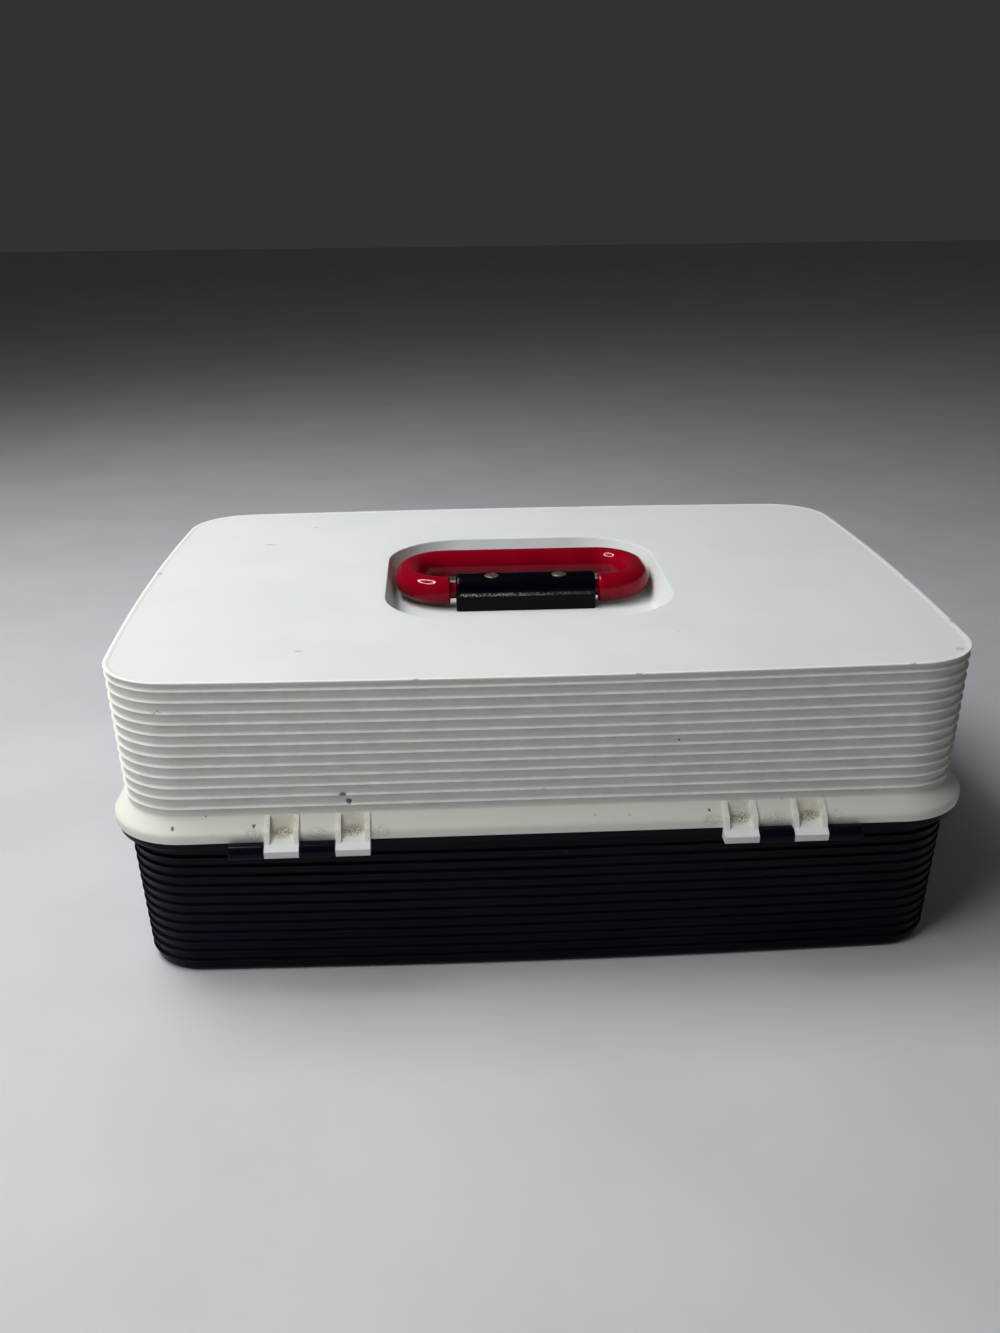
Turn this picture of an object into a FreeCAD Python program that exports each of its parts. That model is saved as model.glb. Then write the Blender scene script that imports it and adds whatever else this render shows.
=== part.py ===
import FreeCAD, Part
import math
import os
import Sketcher

# Cassette tape case
# A two-part moulded case: a ribbed white lid with a folding handle sunk in its top, and a ribbed black base
# with three tape racks. Two four-knuckle hinges join them at the back and two hooks fasten them at the front.
# Millimetres. Origin at the middle of the underside, +Z up, +Y towards the latches, hinges at -Y.

document = FreeCAD.newDocument("cassette_case")
sheet = document.addObject("Spreadsheet::Sheet", "Sizes")

# Driving dimensions
SIZES = {
    # plan outline of the top rim, measured at the rounded corners
    "half_width": 180.0,
    "half_depth": 133.6,
    "corner_radius": 31.2,
    "side_bow": 2.6,
    # heights of the two shells
    "base_height": 67.9,
    "lid_height": 69.3,
    # walls
    "shell_wall": 2.2,
    "floor_thickness": 3.0,
    "top_thickness": 3.0,
    "plate_overlap": 5.0,
    "overrun": 1.0,
    # ribbed courses of both shells
    "rib_pitch": 4.73,
    "rib_count": 12,
    "rib_step": 1.1,
    "rib_flare": 1.7,
    "taper_share": 0.064,
    "lid_first_rib": 4.05,
    "rim_edge": 0.6,
    # flange round the mouth of the lid, levels measured up from the seam, reach measured from the outline
    "flange_neck_level": 9.8,
    "flange_slope_level": 4.7,
    "flange_crest_level": 3.4,
    "flange_slope_reach": 0.8,
    "flange_crest_reach": 1.9,
    "flange_foot_reach": 1.4,
    "flange_wall": 2.8,
    # rim of the base, with the lip that stands inside the flange
    "rim_reach": 0.7,
    "rim_thickness": 3.4,
    "rim_chamfer": 0.7,
    "lip_height": 3.5,
    "lip_thickness": 2.2,
    "lip_gap": 0.6,
    "base_first_rib": 10.3,
    "base_first_inset": 3.5,
    "foot_radius": 3.0,
    # hinges
    "hinge_centre": 101.5,
    "hinge_reach": 4.0,
    "hinge_drop": 2.8,
    "knuckle_radius": 3.6,
    "knuckle_width": 15.0,
    "knuckle_gap": 0.3,
    "hinge_relief": 0.4,
    "hinge_pin_radius": 1.5,
    "pin_play": 0.05,
    "lug_top": 6.9,
    "lug_top_inset": 1.4,
    "lug_root": 3.0,
    "lug_cheek": 2.3,
    "lug_floor": 0.8,
    "lug_skin": 0.15,
    "arm_sink": 0.3,
    "gusset_drop": 9.0,
    # handle recess in the lid, about the pivot line
    "pivot_offset": 1.5,
    "recess_half_width": 67.5,
    "recess_half_length": 65.5,
    "recess_corner": 32.0,
    "recess_depth": 15.0,
    "recess_draft": 14.0,
    "recess_floor": 3.0,
    # handle
    "handle_tube_radius": 6.4,
    "handle_half_width": 57.1,
    "handle_drop": 47.0,
    "handle_bend": 19.0,
    "pivot_depth": 6.6,
    "handle_end_gap": 3.0,
    "handle_end_chamfer": 0.8,
    "stub_radius": 3.2,
    "stub_length": 15.0,
    "stub_play": 0.05,
    # saddle over the handle's stubs
    "saddle_half_length": 34.0,
    "saddle_radius": 8.2,
    "saddle_chamfer": 0.9,
    "stub_end_gap": 0.4,
    "post_play": 0.1,
    # screws of the saddle
    "screw_spacing": 33.0,
    "screw_radius": 1.75,
    "screw_hole_play": 0.25,
    "screw_head_radius": 3.7,
    "screw_head_height": 1.7,
    "screw_head_play": 0.3,
    "screw_sink": 0.5,
    "screw_head_chamfer": 0.9,
    "screw_slot_width": 1.0,
    "screw_slot_depth": 0.8,
    "boss_radius": 4.6,
    "boss_length": 2.4,
    # latches
    "latch_centre": 101.5,
    "latch_width": 36.0,
    "latch_reach": 5.5,
    "latch_rise": 7.5,
    "latch_barrel": 3.8,
    "latch_plate": 3.0,
    "latch_drop": 21.0,
    "latch_bite": 1.3,
    "latch_hook_gap": 0.4,
    "latch_hook_height": 3.2,
    "latch_nose_share": 0.35,
    "latch_lip_reach": 2.6,
    "latch_lip_height": 5.0,
    "latch_pin_radius": 1.5,
    "latch_side_gap": 0.4,
    "latch_release": 14.0,
    "ear_width": 5.0,
    "ear_root_reach": 0.4,
    "ear_top": 6.5,
    "ear_foot": 0.5,
    # tape racks
    "slot_count": 18,
    "slot_pitch": 18.2,
    "rack_channel": 71.5,
    "rack_wall": 2.0,
    "rack_floor": 2.5,
    "rack_height": 44.0,
    "rack_spacing": 3.0,
    "comb_depth": 4.0,
    "comb_thickness": 1.0,
    "comb_drop": 6.0,
    "rack_corner": 3.0,
}

for row, (alias, size) in enumerate(SIZES.items(), start=1):
    sheet.set(f"A{row}", alias)
    sheet.set(f"B{row}", str(size))
    sheet.setAlias(f"B{row}", alias)
document.recompute()

# Expressions for the sizes and levels that several pieces share
seam = "Sizes.base_height"
crown = f"({seam} + Sizes.lid_height)"
side_span = "(Sizes.half_width - Sizes.corner_radius)"
hinge_wall = f"(Sizes.half_depth + Sizes.side_bow * (1 - (Sizes.hinge_centre / {side_span}) ^ 2))"
latch_wall = f"(Sizes.half_depth + Sizes.side_bow * (1 - (Sizes.latch_centre / {side_span}) ^ 2))"
hinge_y = f"({hinge_wall} + Sizes.hinge_reach)"
hinge_z = f"({seam} - Sizes.hinge_drop)"
latch_y = f"({latch_wall} + Sizes.latch_reach)"
latch_z = f"({seam} + Sizes.latch_rise)"
pivot_z = f"({crown} - Sizes.pivot_depth)"
recess_z = f"({crown} - Sizes.recess_depth)"
apex_x = "(Sizes.half_width + Sizes.side_bow)"
rib_count = int(sheet.rib_count)

# The closeness at which two lengths count as equal, and the hinge's knuckles, counted inward from the outermost
TOUCH = 1e-4
KNUCKLES = 4
LID_STEPS = (1, 3)
BASE_STEPS = (0, 2)


def value(expression):
    """The number that an expression in the sheet's names gives."""
    return float(sheet.evalExpression(str(expression)))


def new_body(label):
    """An empty body whose label names the piece's file."""
    body = document.addObject("PartDesign::Body", label)
    body.Label = label
    return body


def origin_plane(body, role):
    """One of a body's own origin planes."""
    return next(plane for plane in body.Origin.OriginFeatures if plane.Role == role)


def new_sketch(body, name, role, offset=None):
    """A sketch on an origin plane of the body, moved along the plane's normal by an expression."""
    sketch = body.newObject("Sketcher::SketchObject", name)
    sketch.AttachmentSupport = [(origin_plane(body, role), "")]
    sketch.MapMode = "FlatFace"
    if offset is not None:
        sketch.setExpression("AttachmentOffset.Base.z", str(offset))
    return sketch


def bind(sketch, kind, references, expression):
    """A dimension of a sketch that follows an expression."""
    index = sketch.addConstraint(Sketcher.Constraint(kind, *references, value(expression)))
    sketch.setExpression(f"Constraints[{index}]", str(expression))


def place_point(sketch, geometry, position, x_expression, y_expression):
    """Ties a point of a sketch to the origin along both axes."""
    for kind, expression in (("DistanceX", x_expression), ("DistanceY", y_expression)):
        if value(expression) < 0:
            bind(sketch, kind, (geometry, position, -1, 1), f"-({expression})")
        else:
            bind(sketch, kind, (-1, 1, geometry, position), expression)


def arc_between(start, end, radius, turn):
    """The short arc from start to end, turning left for turn 1 and right for turn -1."""
    chord = end - start
    half = chord.Length / 2
    to_centre = FreeCAD.Vector(-chord.y, chord.x, 0).normalize() * turn
    centre = start + chord / 2 + to_centre * math.sqrt(max(radius ** 2 - half ** 2, 0))
    angles = [math.atan2(point.y - centre.y, point.x - centre.x) for point in (start, end)]
    if turn < 0:
        angles.reverse()
    return Part.ArcOfCircle(Part.Circle(centre, FreeCAD.Vector(0, 0, 1), radius), *angles)


def outline(sketch, corners, arcs=None, closed=True):
    """
    An outline through corners, each a pair of expressions, closed unless said otherwise.
    arcs maps the number of a side to its radius and turn; the other sides are straight.
    """
    arcs = arcs or {}
    points = [FreeCAD.Vector(value(x), value(y), 0) for x, y in corners]
    count = len(points)
    sides = count if closed else count - 1
    first = sketch.GeometryCount
    ends = []
    for side in range(sides):
        start = points[side]
        end = points[(side + 1) % count]
        if side in arcs:
            radius, turn = arcs[side]
            sketch.addGeometry(arc_between(start, end, value(radius), turn), False)
            ends.append((1, 2) if turn > 0 else (2, 1))
        else:
            sketch.addGeometry(Part.LineSegment(start, end), False)
            ends.append((1, 2))
    for side in range(count if closed else sides - 1):
        following = (side + 1) % count
        joint = (first + side, ends[side][1], first + following, ends[following][0])
        sketch.addConstraint(Sketcher.Constraint("Coincident", *joint))
    for side, (x_expression, y_expression) in enumerate(corners[:sides]):
        place_point(sketch, first + side, ends[side][0], x_expression, y_expression)
    if not closed:
        place_point(sketch, first + sides - 1, ends[-1][1], *corners[-1])
    for side, (radius, turn) in arcs.items():
        bind(sketch, "Radius", (first + side,), radius)
    return sketch


def circle(sketch, x_expression, y_expression, radius):
    """A full circle placed and sized by expressions."""
    centre = FreeCAD.Vector(value(x_expression), value(y_expression), 0)
    index = sketch.addGeometry(Part.Circle(centre, FreeCAD.Vector(0, 0, 1), value(radius)), False)
    place_point(sketch, index, 3, x_expression, y_expression)
    bind(sketch, "Radius", (index,), radius)
    return sketch


def bowed_outline(sketch, offset):
    """
    The case's plan outline moved outward by offset: four corner arcs joined by four large side arcs, all tangent.
    A side's radius follows from its bow: the apex stands the bow beyond the corner arcs.
    """
    corner = f"(Sizes.corner_radius + {offset})"
    centre_x = "(Sizes.half_width - Sizes.corner_radius)"
    centre_y = "(Sizes.half_depth - Sizes.corner_radius)"
    rise = "(Sizes.corner_radius + Sizes.side_bow)"

    def side_radius(half_span):
        span = f"({rise} ^ 2 + {half_span} ^ 2 - Sizes.corner_radius ^ 2)"
        return f"({span} / (2 * Sizes.side_bow) + {offset})"

    end_radius = side_radius(centre_y)
    face_radius = side_radius(centre_x)
    up = FreeCAD.Vector(0, 0, 1)
    end_centre = value(f"{apex_x} + {offset} - {end_radius}")
    face_centre = value(f"Sizes.half_depth + Sizes.side_bow + {offset} - {face_radius}")
    end_angle = math.atan2(value(centre_y), value(centre_x) - end_centre)
    face_angle = math.atan2(value(centre_x), value(centre_y) - face_centre)
    quarter = math.pi / 2
    for turn in range(4):
        on_end = turn % 2 == 0
        start = turn * quarter
        spread = end_angle if on_end else face_angle
        following = face_angle if on_end else end_angle
        reach = end_centre if on_end else face_centre
        middle = FreeCAD.Vector(reach * math.cos(start), reach * math.sin(start), 0)
        radius = value(end_radius if on_end else face_radius)
        side = Part.ArcOfCircle(Part.Circle(middle, up, radius), start - spread, start + spread)
        sketch.addGeometry(side, False)
        side_x = 1 if turn in (0, 3) else -1
        side_y = 1 if turn in (0, 1) else -1
        knee = FreeCAD.Vector(side_x * value(centre_x), side_y * value(centre_y), 0)
        bend = Part.Circle(knee, up, value(corner))
        sketch.addGeometry(Part.ArcOfCircle(bend, start + spread, start + quarter - following), False)
    for turn in range(4):
        side = 2 * turn
        bend = side + 1
        sketch.addConstraint(Sketcher.Constraint("Tangent", side, 2, bend, 1))
        sketch.addConstraint(Sketcher.Constraint("Tangent", bend, 2, (side + 2) % 8, 1))
        side_x = "" if turn in (0, 3) else "-"
        side_y = "" if turn in (0, 1) else "-"
        place_point(sketch, bend, 3, f"{side_x}{centre_x}", f"{side_y}{centre_y}")
        bind(sketch, "Radius", (bend,), corner)
        bind(sketch, "Radius", (side,), end_radius if turn % 2 == 0 else face_radius)
    return sketch


def rounded_rectangle(sketch, half_x, half_y, radius, middle_y="0"):
    """A rectangle with four equal round corners about the middle of X."""
    near_x = f"({half_x} - {radius})"
    near_y = f"({half_y} - {radius})"
    corners = [
        (f"-{near_x}", f"{middle_y} - {half_y}"),
        (f"{near_x}", f"{middle_y} - {half_y}"),
        (f"{half_x}", f"{middle_y} - {near_y}"),
        (f"{half_x}", f"{middle_y} + {near_y}"),
        (f"{near_x}", f"{middle_y} + {half_y}"),
        (f"-{near_x}", f"{middle_y} + {half_y}"),
        (f"-{half_x}", f"{middle_y} + {near_y}"),
        (f"-{half_x}", f"{middle_y} - {near_y}"),
    ]
    return outline(sketch, corners, {side: (radius, 1) for side in (1, 3, 5, 7)})


def rectangle(sketch, left, right, low, high):
    """A plain rectangle between four expressions."""
    return outline(sketch, [(left, low), (right, low), (right, high), (left, high)])


def pad(body, sketch, length, name, **settings):
    """Material along a sketch's normal by an expression."""
    feature = body.newObject("PartDesign::Pad", name)
    feature.Profile = sketch
    feature.Refine = False
    feature.setExpression("Length", str(length))
    for setting, state in settings.items():
        setattr(feature, setting, state)
    sketch.Visibility = False
    document.recompute()
    return feature


def pocket(body, sketch, length, name, needed=True, **settings):
    """A cut along a sketch's normal by an expression; where it is needed, it has to take material away."""
    before = body.Shape.Volume
    feature = body.newObject("PartDesign::Pocket", name)
    feature.Profile = sketch
    feature.Refine = False
    feature.setExpression("Length", str(length))
    for setting, state in settings.items():
        setattr(feature, setting, state)
    sketch.Visibility = False
    document.recompute()
    if needed and not body.Shape.Volume < before:
        raise RuntimeError(f"{name} cuts nothing")
    return feature


def ribbed_courses(first_level, first_reach):
    """
    Corners of the ribbed wall from its first ridge down. Each course flares out to a ridge and steps in under
    it, and the whole wall leans in on the way down.
    """
    corners = []
    for course in range(rib_count):
        drop = f"{course} * Sizes.rib_pitch"
        level = f"({first_level} - {drop})"
        reach = f"({first_reach} - Sizes.taper_share * {drop})"
        corners.append((f"{apex_x} + {reach}", level))
        corners.append((f"{apex_x} + {reach} - Sizes.rib_step", level))
    return corners


def sweep_wall(body, corners, arcs):
    """Carries a closed wall section round the plan outline."""
    path = bowed_outline(new_sketch(body, body.Label + "_outline", "XY_Plane"), "0")
    section = outline(new_sketch(body, body.Label + "_section", "XZ_Plane"), corners, arcs)
    document.recompute()
    wall = body.newObject("PartDesign::AdditivePipe", body.Label + "_wall")
    wall.Profile = section
    wall.Spine = (path, [])
    document.recompute()
    path.Visibility = False
    section.Visibility = False
    return wall


def knuckle_span(side, step):
    """Low and high X of a knuckle, step widths inward from the outermost one, side 1 right and -1 left."""
    outer = f"(Sizes.hinge_centre + {KNUCKLES // 2 - step} * Sizes.knuckle_width)"
    inner = f"(Sizes.hinge_centre + {KNUCKLES // 2 - step - 1} * Sizes.knuckle_width)"
    low, high = (inner, outer) if side > 0 else (f"-{outer}", f"-{inner}")
    return low, high


def hinge_low(side):
    """Low X of a whole hinge."""
    return knuckle_span(side, KNUCKLES - 1 if side > 0 else 0)[0]


def yz_sketch(body, name, offset):
    """A sketch in a plane across X, whose axes are Y and Z."""
    return new_sketch(body, name, "YZ_Plane", offset)


# Lid shell: ribbed wall, flange, top plate with the handle recess, hinge lugs and latch ears
def lid_section():
    """Closed wall section of the lid, from the top plate down the ribs, round the flange and back up inside."""
    last_drop = f"(Sizes.lid_first_rib + {rib_count - 1} * Sizes.rib_pitch)"
    neck = f"{apex_x} - Sizes.taper_share * {last_drop} - Sizes.rib_step"
    inner_foot = f"{apex_x} + Sizes.flange_foot_reach - Sizes.flange_wall"
    plate_edge = f"{apex_x} - Sizes.plate_overlap - Sizes.shell_wall"
    corners = [(plate_edge, crown), (apex_x, crown), (apex_x, f"{crown} - Sizes.rim_edge")]
    corners.append((f"{apex_x} - Sizes.rib_step", f"{crown} - Sizes.rim_edge"))
    corners += ribbed_courses(f"({crown} - Sizes.lid_first_rib)", "(-Sizes.taper_share * Sizes.lid_first_rib)")
    corners.append((neck, f"{seam} + Sizes.flange_neck_level"))
    corners.append((f"{apex_x} + Sizes.flange_slope_reach", f"{seam} + Sizes.flange_slope_level"))
    corners.append((f"{apex_x} + Sizes.flange_crest_reach", f"{seam} + Sizes.flange_crest_level"))
    corners.append((f"{apex_x} + Sizes.flange_foot_reach", seam))
    corners.append((inner_foot, seam))
    corners.append((inner_foot, f"{seam} + Sizes.flange_crest_level"))
    corners.append((f"{neck} - Sizes.shell_wall", f"{seam} + Sizes.flange_neck_level - Sizes.rib_flare"))
    corners.append((f"{apex_x} - Sizes.rib_step - Sizes.shell_wall", f"{crown} - Sizes.top_thickness"))
    corners.append((plate_edge, f"{crown} - Sizes.top_thickness"))
    return corners


def add_recess(body):
    """The tray that hangs from the top plate, hollowed for the handle, with drafted walls."""
    tray = new_sketch(body, "tray_plan", "XY_Plane", crown)
    rounded_rectangle(tray, "(Sizes.recess_half_width + Sizes.recess_floor)",
                      "(Sizes.recess_half_length + Sizes.recess_floor)",
                      "(Sizes.recess_corner + Sizes.recess_floor)", "-Sizes.pivot_offset")
    tray_pad = pad(body, tray, "Sizes.recess_depth + Sizes.recess_floor", "tray", Reversed=True)
    tray_pad.setExpression("TaperAngle", "-Sizes.recess_draft")
    well = new_sketch(body, "recess_plan", "XY_Plane", crown)
    rounded_rectangle(well, "Sizes.recess_half_width", "Sizes.recess_half_length", "Sizes.recess_corner",
                      "-Sizes.pivot_offset")
    well_cut = pocket(body, well, "Sizes.recess_depth", "recess")
    well_cut.setExpression("TaperAngle", "-Sizes.recess_draft")
    document.recompute()


def hinge_lug(body, side, step):
    """A white lid knuckle: its barrel, two cheeks that run up to the flange's slope and the pocket between."""
    low, high = knuckle_span(side, step)
    name = f"lug_{'right' if side > 0 else 'left'}_{step}"
    lug = yz_sketch(body, name + "_section", f"{low} + Sizes.knuckle_gap / 2")
    front = f"-({hinge_y} + Sizes.knuckle_radius)"
    back = f"-({hinge_y} - Sizes.knuckle_radius)"
    corners = [
        (front, hinge_z),
        (f"-{hinge_y}", f"{hinge_z} - Sizes.knuckle_radius"),
        (back, hinge_z),
        (back, f"{seam} + Sizes.flange_crest_level"),
        (f"-({hinge_wall} - Sizes.lug_root)", f"{seam} + Sizes.lug_top"),
        (f"-({hinge_wall} - Sizes.lug_top_inset)", f"{seam} + Sizes.lug_top"),
        (front, f"{hinge_z} + Sizes.knuckle_radius / 2"),
    ]
    outline(lug, corners, {0: ("Sizes.knuckle_radius", 1), 1: ("Sizes.knuckle_radius", 1)})
    width = "(Sizes.knuckle_width - Sizes.knuckle_gap)"
    pad(body, lug, width, name)
    hollow = yz_sketch(body, name + "_pocket_section", f"{low} + Sizes.knuckle_gap / 2 + Sizes.lug_cheek")
    crest = f"-({hinge_wall} + Sizes.flange_crest_reach + Sizes.lug_skin)"
    shoulder = f"-({hinge_wall} + Sizes.flange_slope_reach + Sizes.lug_skin)"
    top = f"{seam} + Sizes.lug_top + Sizes.overrun"
    corners = [
        (f"{front} - Sizes.overrun", f"{seam} + Sizes.lug_floor"),
        (crest, f"{seam} + Sizes.lug_floor"),
        (crest, f"{seam} + Sizes.flange_crest_level"),
        (shoulder, f"{seam} + Sizes.flange_slope_level"),
        (f"-({hinge_wall} - Sizes.lug_top_inset - Sizes.overrun + Sizes.lug_skin)", top),
        (f"{front} - Sizes.overrun", top),
    ]
    outline(hollow, corners)
    pocket(body, hollow, f"{width} - 2 * Sizes.lug_cheek", name + "_pocket", Reversed=True)


def pin_bore(body, name, low, length, y, z, radius, needed=True):
    """A round hole along X."""
    bore = yz_sketch(body, name + "_section", low)
    circle(bore, y, z, radius)
    return pocket(body, bore, length, name, needed, Reversed=True)


def latch_ears(body, side):
    """The two ears on the flange that hold a latch's pin, bored for it."""
    word = "right" if side > 0 else "left"
    sign = "" if side > 0 else "-"
    centre = f"({sign}Sizes.latch_centre)"
    gap = "(Sizes.latch_width / 2 + Sizes.latch_side_gap)"
    root = f"{latch_wall} - Sizes.ear_root_reach"
    for end, low in (("low", f"{centre} - {gap} - Sizes.ear_width"), ("high", f"{centre} + {gap}")):
        ear = yz_sketch(body, f"ear_{word}_{end}_section", low)
        corners = [
            (f"{latch_y} + Sizes.latch_barrel", latch_z),
            (latch_y, f"{latch_z} + Sizes.latch_barrel"),
            (root, f"{seam} + Sizes.ear_top"),
            (root, f"{seam} + Sizes.ear_foot"),
            (latch_y, f"{latch_z} - Sizes.latch_barrel"),
        ]
        outline(ear, corners, {0: ("Sizes.latch_barrel", 1), 4: ("Sizes.latch_barrel", 1)})
        pad(body, ear, "Sizes.ear_width", f"ear_{word}_{end}")
    whole = f"({gap} + Sizes.ear_width)"
    pin_bore(body, f"latch_bore_{word}", f"{centre} - {whole}", f"2 * {whole}", latch_y, latch_z,
             "Sizes.latch_pin_radius")


def add_saddle_seat(body):
    """Two posts that carry the handle's stubs, and two bosses under the recess floor for the screws."""
    posts = new_sketch(body, "post_plan", "XY_Plane", recess_z)
    outer = "(Sizes.saddle_half_length - Sizes.post_play)"
    inner = "(Sizes.saddle_half_length + Sizes.handle_end_gap - Sizes.stub_length)"
    half = "(Sizes.stub_radius - Sizes.post_play)"
    rectangle(posts, inner, outer, f"-Sizes.pivot_offset - {half}", f"-Sizes.pivot_offset + {half}")
    rectangle(posts, f"-{outer}", f"-{inner}", f"-Sizes.pivot_offset - {half}", f"-Sizes.pivot_offset + {half}")
    pad(body, posts, "Sizes.recess_depth - Sizes.pivot_depth - Sizes.stub_radius - Sizes.stub_play", "stub_posts")
    bosses = new_sketch(body, "boss_plan", "XY_Plane", f"{recess_z} - Sizes.recess_floor")
    for sign in ("", "-"):
        circle(bosses, f"{sign}Sizes.screw_spacing / 2", "-Sizes.pivot_offset", "Sizes.boss_radius")
    pad(body, bosses, "Sizes.boss_length", "screw_bosses", Reversed=True)
    pilots = new_sketch(body, "pilot_plan", "XY_Plane", recess_z)
    for sign in ("", "-"):
        circle(pilots, f"{sign}Sizes.screw_spacing / 2", "-Sizes.pivot_offset", "Sizes.screw_radius")
    pocket(body, pilots, "Sizes.recess_floor + Sizes.boss_length + Sizes.overrun", "screw_pilots")


def make_lid():
    body = new_body("lid_shell")
    sweep_wall(body, lid_section(), {})
    plate = bowed_outline(new_sketch(body, "top_plan", "XY_Plane", f"{crown} - Sizes.top_thickness"),
                          "(-Sizes.plate_overlap)")
    pad(body, plate, "Sizes.top_thickness", "top_plate")
    add_recess(body)
    add_saddle_seat(body)
    for side in (-1, 1):
        for step in LID_STEPS:
            hinge_lug(body, side, step)
        word = "right" if side > 0 else "left"
        pin_bore(body, f"hinge_bore_{word}", hinge_low(side), f"{KNUCKLES} * Sizes.knuckle_width", f"-{hinge_y}", hinge_z,
                 "(Sizes.hinge_pin_radius + Sizes.pin_play)")
        for step in BASE_STEPS:
            start = f"{knuckle_span(side, step)[0]} - Sizes.knuckle_gap"
            width = "Sizes.knuckle_width + 2 * Sizes.knuckle_gap"
            pin_bore(body, f"relief_{word}_{step}", start, width, f"-{hinge_y}", hinge_z,
                     "(Sizes.knuckle_radius + Sizes.hinge_relief)", needed=False)
        latch_ears(body, side)
    return body


# Base shell: ribbed wall, rim with its lip, floor, and the base knuckles of the hinges
def base_section():
    """Closed wall section of the base, from the lip down the ribs to the rounded foot and back up inside."""
    lip_outer = "(Sizes.flange_foot_reach - Sizes.flange_wall - Sizes.lip_gap)"
    lip_inner = f"({lip_outer} - Sizes.lip_thickness)"
    inset = "Sizes.base_first_inset"
    lean = f"Sizes.taper_share * {rib_count - 1} * Sizes.rib_pitch"
    root = f"(-{inset} - Sizes.rib_step)"
    foot = f"(-{inset} - {lean} - Sizes.rib_step)"
    corners = [
        (f"{apex_x} + {lip_inner}", f"{seam} + Sizes.lip_height"),
        (f"{apex_x} + {lip_outer} - Sizes.rim_chamfer", f"{seam} + Sizes.lip_height"),
        (f"{apex_x} + {lip_outer}", f"{seam} + Sizes.lip_height - Sizes.rim_chamfer"),
        (f"{apex_x} + {lip_outer}", seam),
        (f"{apex_x} + Sizes.rim_reach", seam),
        (f"{apex_x} + Sizes.rim_reach", f"{seam} - Sizes.rim_thickness + Sizes.rim_chamfer"),
        (f"{apex_x} + Sizes.rim_reach - Sizes.rim_chamfer", f"{seam} - Sizes.rim_thickness"),
        (f"{apex_x} + {root}", f"{seam} - Sizes.rim_thickness"),
    ]
    corners += ribbed_courses(f"({seam} - Sizes.base_first_rib)", f"(-{inset})")
    round_side = len(corners)
    corners.append((f"{apex_x} + {foot}", "Sizes.foot_radius"))
    corners.append((f"{apex_x} + {foot} - Sizes.foot_radius", "0"))
    plate_edge = f"{apex_x} + {foot} - Sizes.shell_wall - Sizes.plate_overlap"
    corners.append((plate_edge, "0"))
    corners.append((plate_edge, "Sizes.floor_thickness"))
    corners.append((f"{apex_x} + {foot} - Sizes.shell_wall", "Sizes.floor_thickness"))
    corners.append((f"{apex_x} + {root} - Sizes.shell_wall", seam))
    corners.append((f"{apex_x} + {lip_inner}", seam))
    return corners, {round_side: ("Sizes.foot_radius", -1)}


def base_knuckle(body, side, step):
    """A black base knuckle: its barrel, the arm into the rim and the gusset down to the ribbed wall."""
    low = knuckle_span(side, step)[0]
    name = f"knuckle_{'right' if side > 0 else 'left'}_{step}"
    section = yz_sketch(body, name + "_section", f"{low} + Sizes.knuckle_gap / 2")
    wall = f"({hinge_wall} - Sizes.base_first_inset - Sizes.rib_step - Sizes.shell_wall / 2)"
    corners = [
        (f"-{hinge_y}", f"{hinge_z} + Sizes.knuckle_radius"),
        (f"-({hinge_y} + Sizes.knuckle_radius)", hinge_z),
        (f"-{hinge_y}", f"{hinge_z} - Sizes.knuckle_radius"),
        (f"-{wall}", f"{seam} - Sizes.gusset_drop"),
        (f"-{wall}", f"{seam} - Sizes.arm_sink"),
        (f"-({hinge_y} - Sizes.knuckle_radius)", f"{seam} - Sizes.arm_sink"),
    ]
    outline(section, corners, {0: ("Sizes.knuckle_radius", 1), 1: ("Sizes.knuckle_radius", 1)})
    pad(body, section, "(Sizes.knuckle_width - Sizes.knuckle_gap)", name)


def rim_notch(body, side, step):
    """The shallow notch in the rim behind a lid knuckle."""
    name = f"notch_{'right' if side > 0 else 'left'}_{step}"
    low, high = knuckle_span(side, step)
    notch = new_sketch(body, name + "_plan", "XY_Plane", seam)
    clear = f"-({hinge_y} - Sizes.knuckle_radius - Sizes.hinge_relief)"
    rectangle(notch, f"{low} - Sizes.knuckle_gap", f"{high} + Sizes.knuckle_gap",
              f"-{hinge_y} - Sizes.overrun", clear)
    pocket(body, notch, "Sizes.rim_thickness + Sizes.overrun", name, needed=False)


def make_base():
    body = new_body("base_shell")
    corners, arcs = base_section()
    sweep_wall(body, corners, arcs)
    lean = f"Sizes.taper_share * {rib_count - 1} * Sizes.rib_pitch"
    overlap = "(Sizes.shell_wall + Sizes.plate_overlap / 2)"
    floor_inset = f"(-(Sizes.base_first_inset + {lean} + Sizes.rib_step + {overlap}))"
    plate = bowed_outline(new_sketch(body, "floor_plan", "XY_Plane"), floor_inset)
    pad(body, plate, "Sizes.floor_thickness", "floor_plate")
    for side in (-1, 1):
        for step in LID_STEPS:
            rim_notch(body, side, step)
        for step in BASE_STEPS:
            base_knuckle(body, side, step)
        word = "right" if side > 0 else "left"
        pin_bore(body, f"hinge_bore_{word}", hinge_low(side), f"{KNUCKLES} * Sizes.knuckle_width", f"-{hinge_y}", hinge_z,
                 "Sizes.hinge_pin_radius")
    return body


# Pins of the hinges and latches
def make_pin(label, low, length, y, z, radius):
    """A plain steel pin along X."""
    pin = document.addObject("Part::Cylinder", label)
    pin.Label = label
    pin.Placement = FreeCAD.Placement(FreeCAD.Vector(), FreeCAD.Rotation(FreeCAD.Vector(0, 1, 0), 90))
    pin.setExpression("Radius", radius)
    pin.setExpression("Height", length)
    pin.setExpression("Placement.Base.x", low)
    pin.setExpression("Placement.Base.y", y)
    pin.setExpression("Placement.Base.z", z)
    return pin


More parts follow.
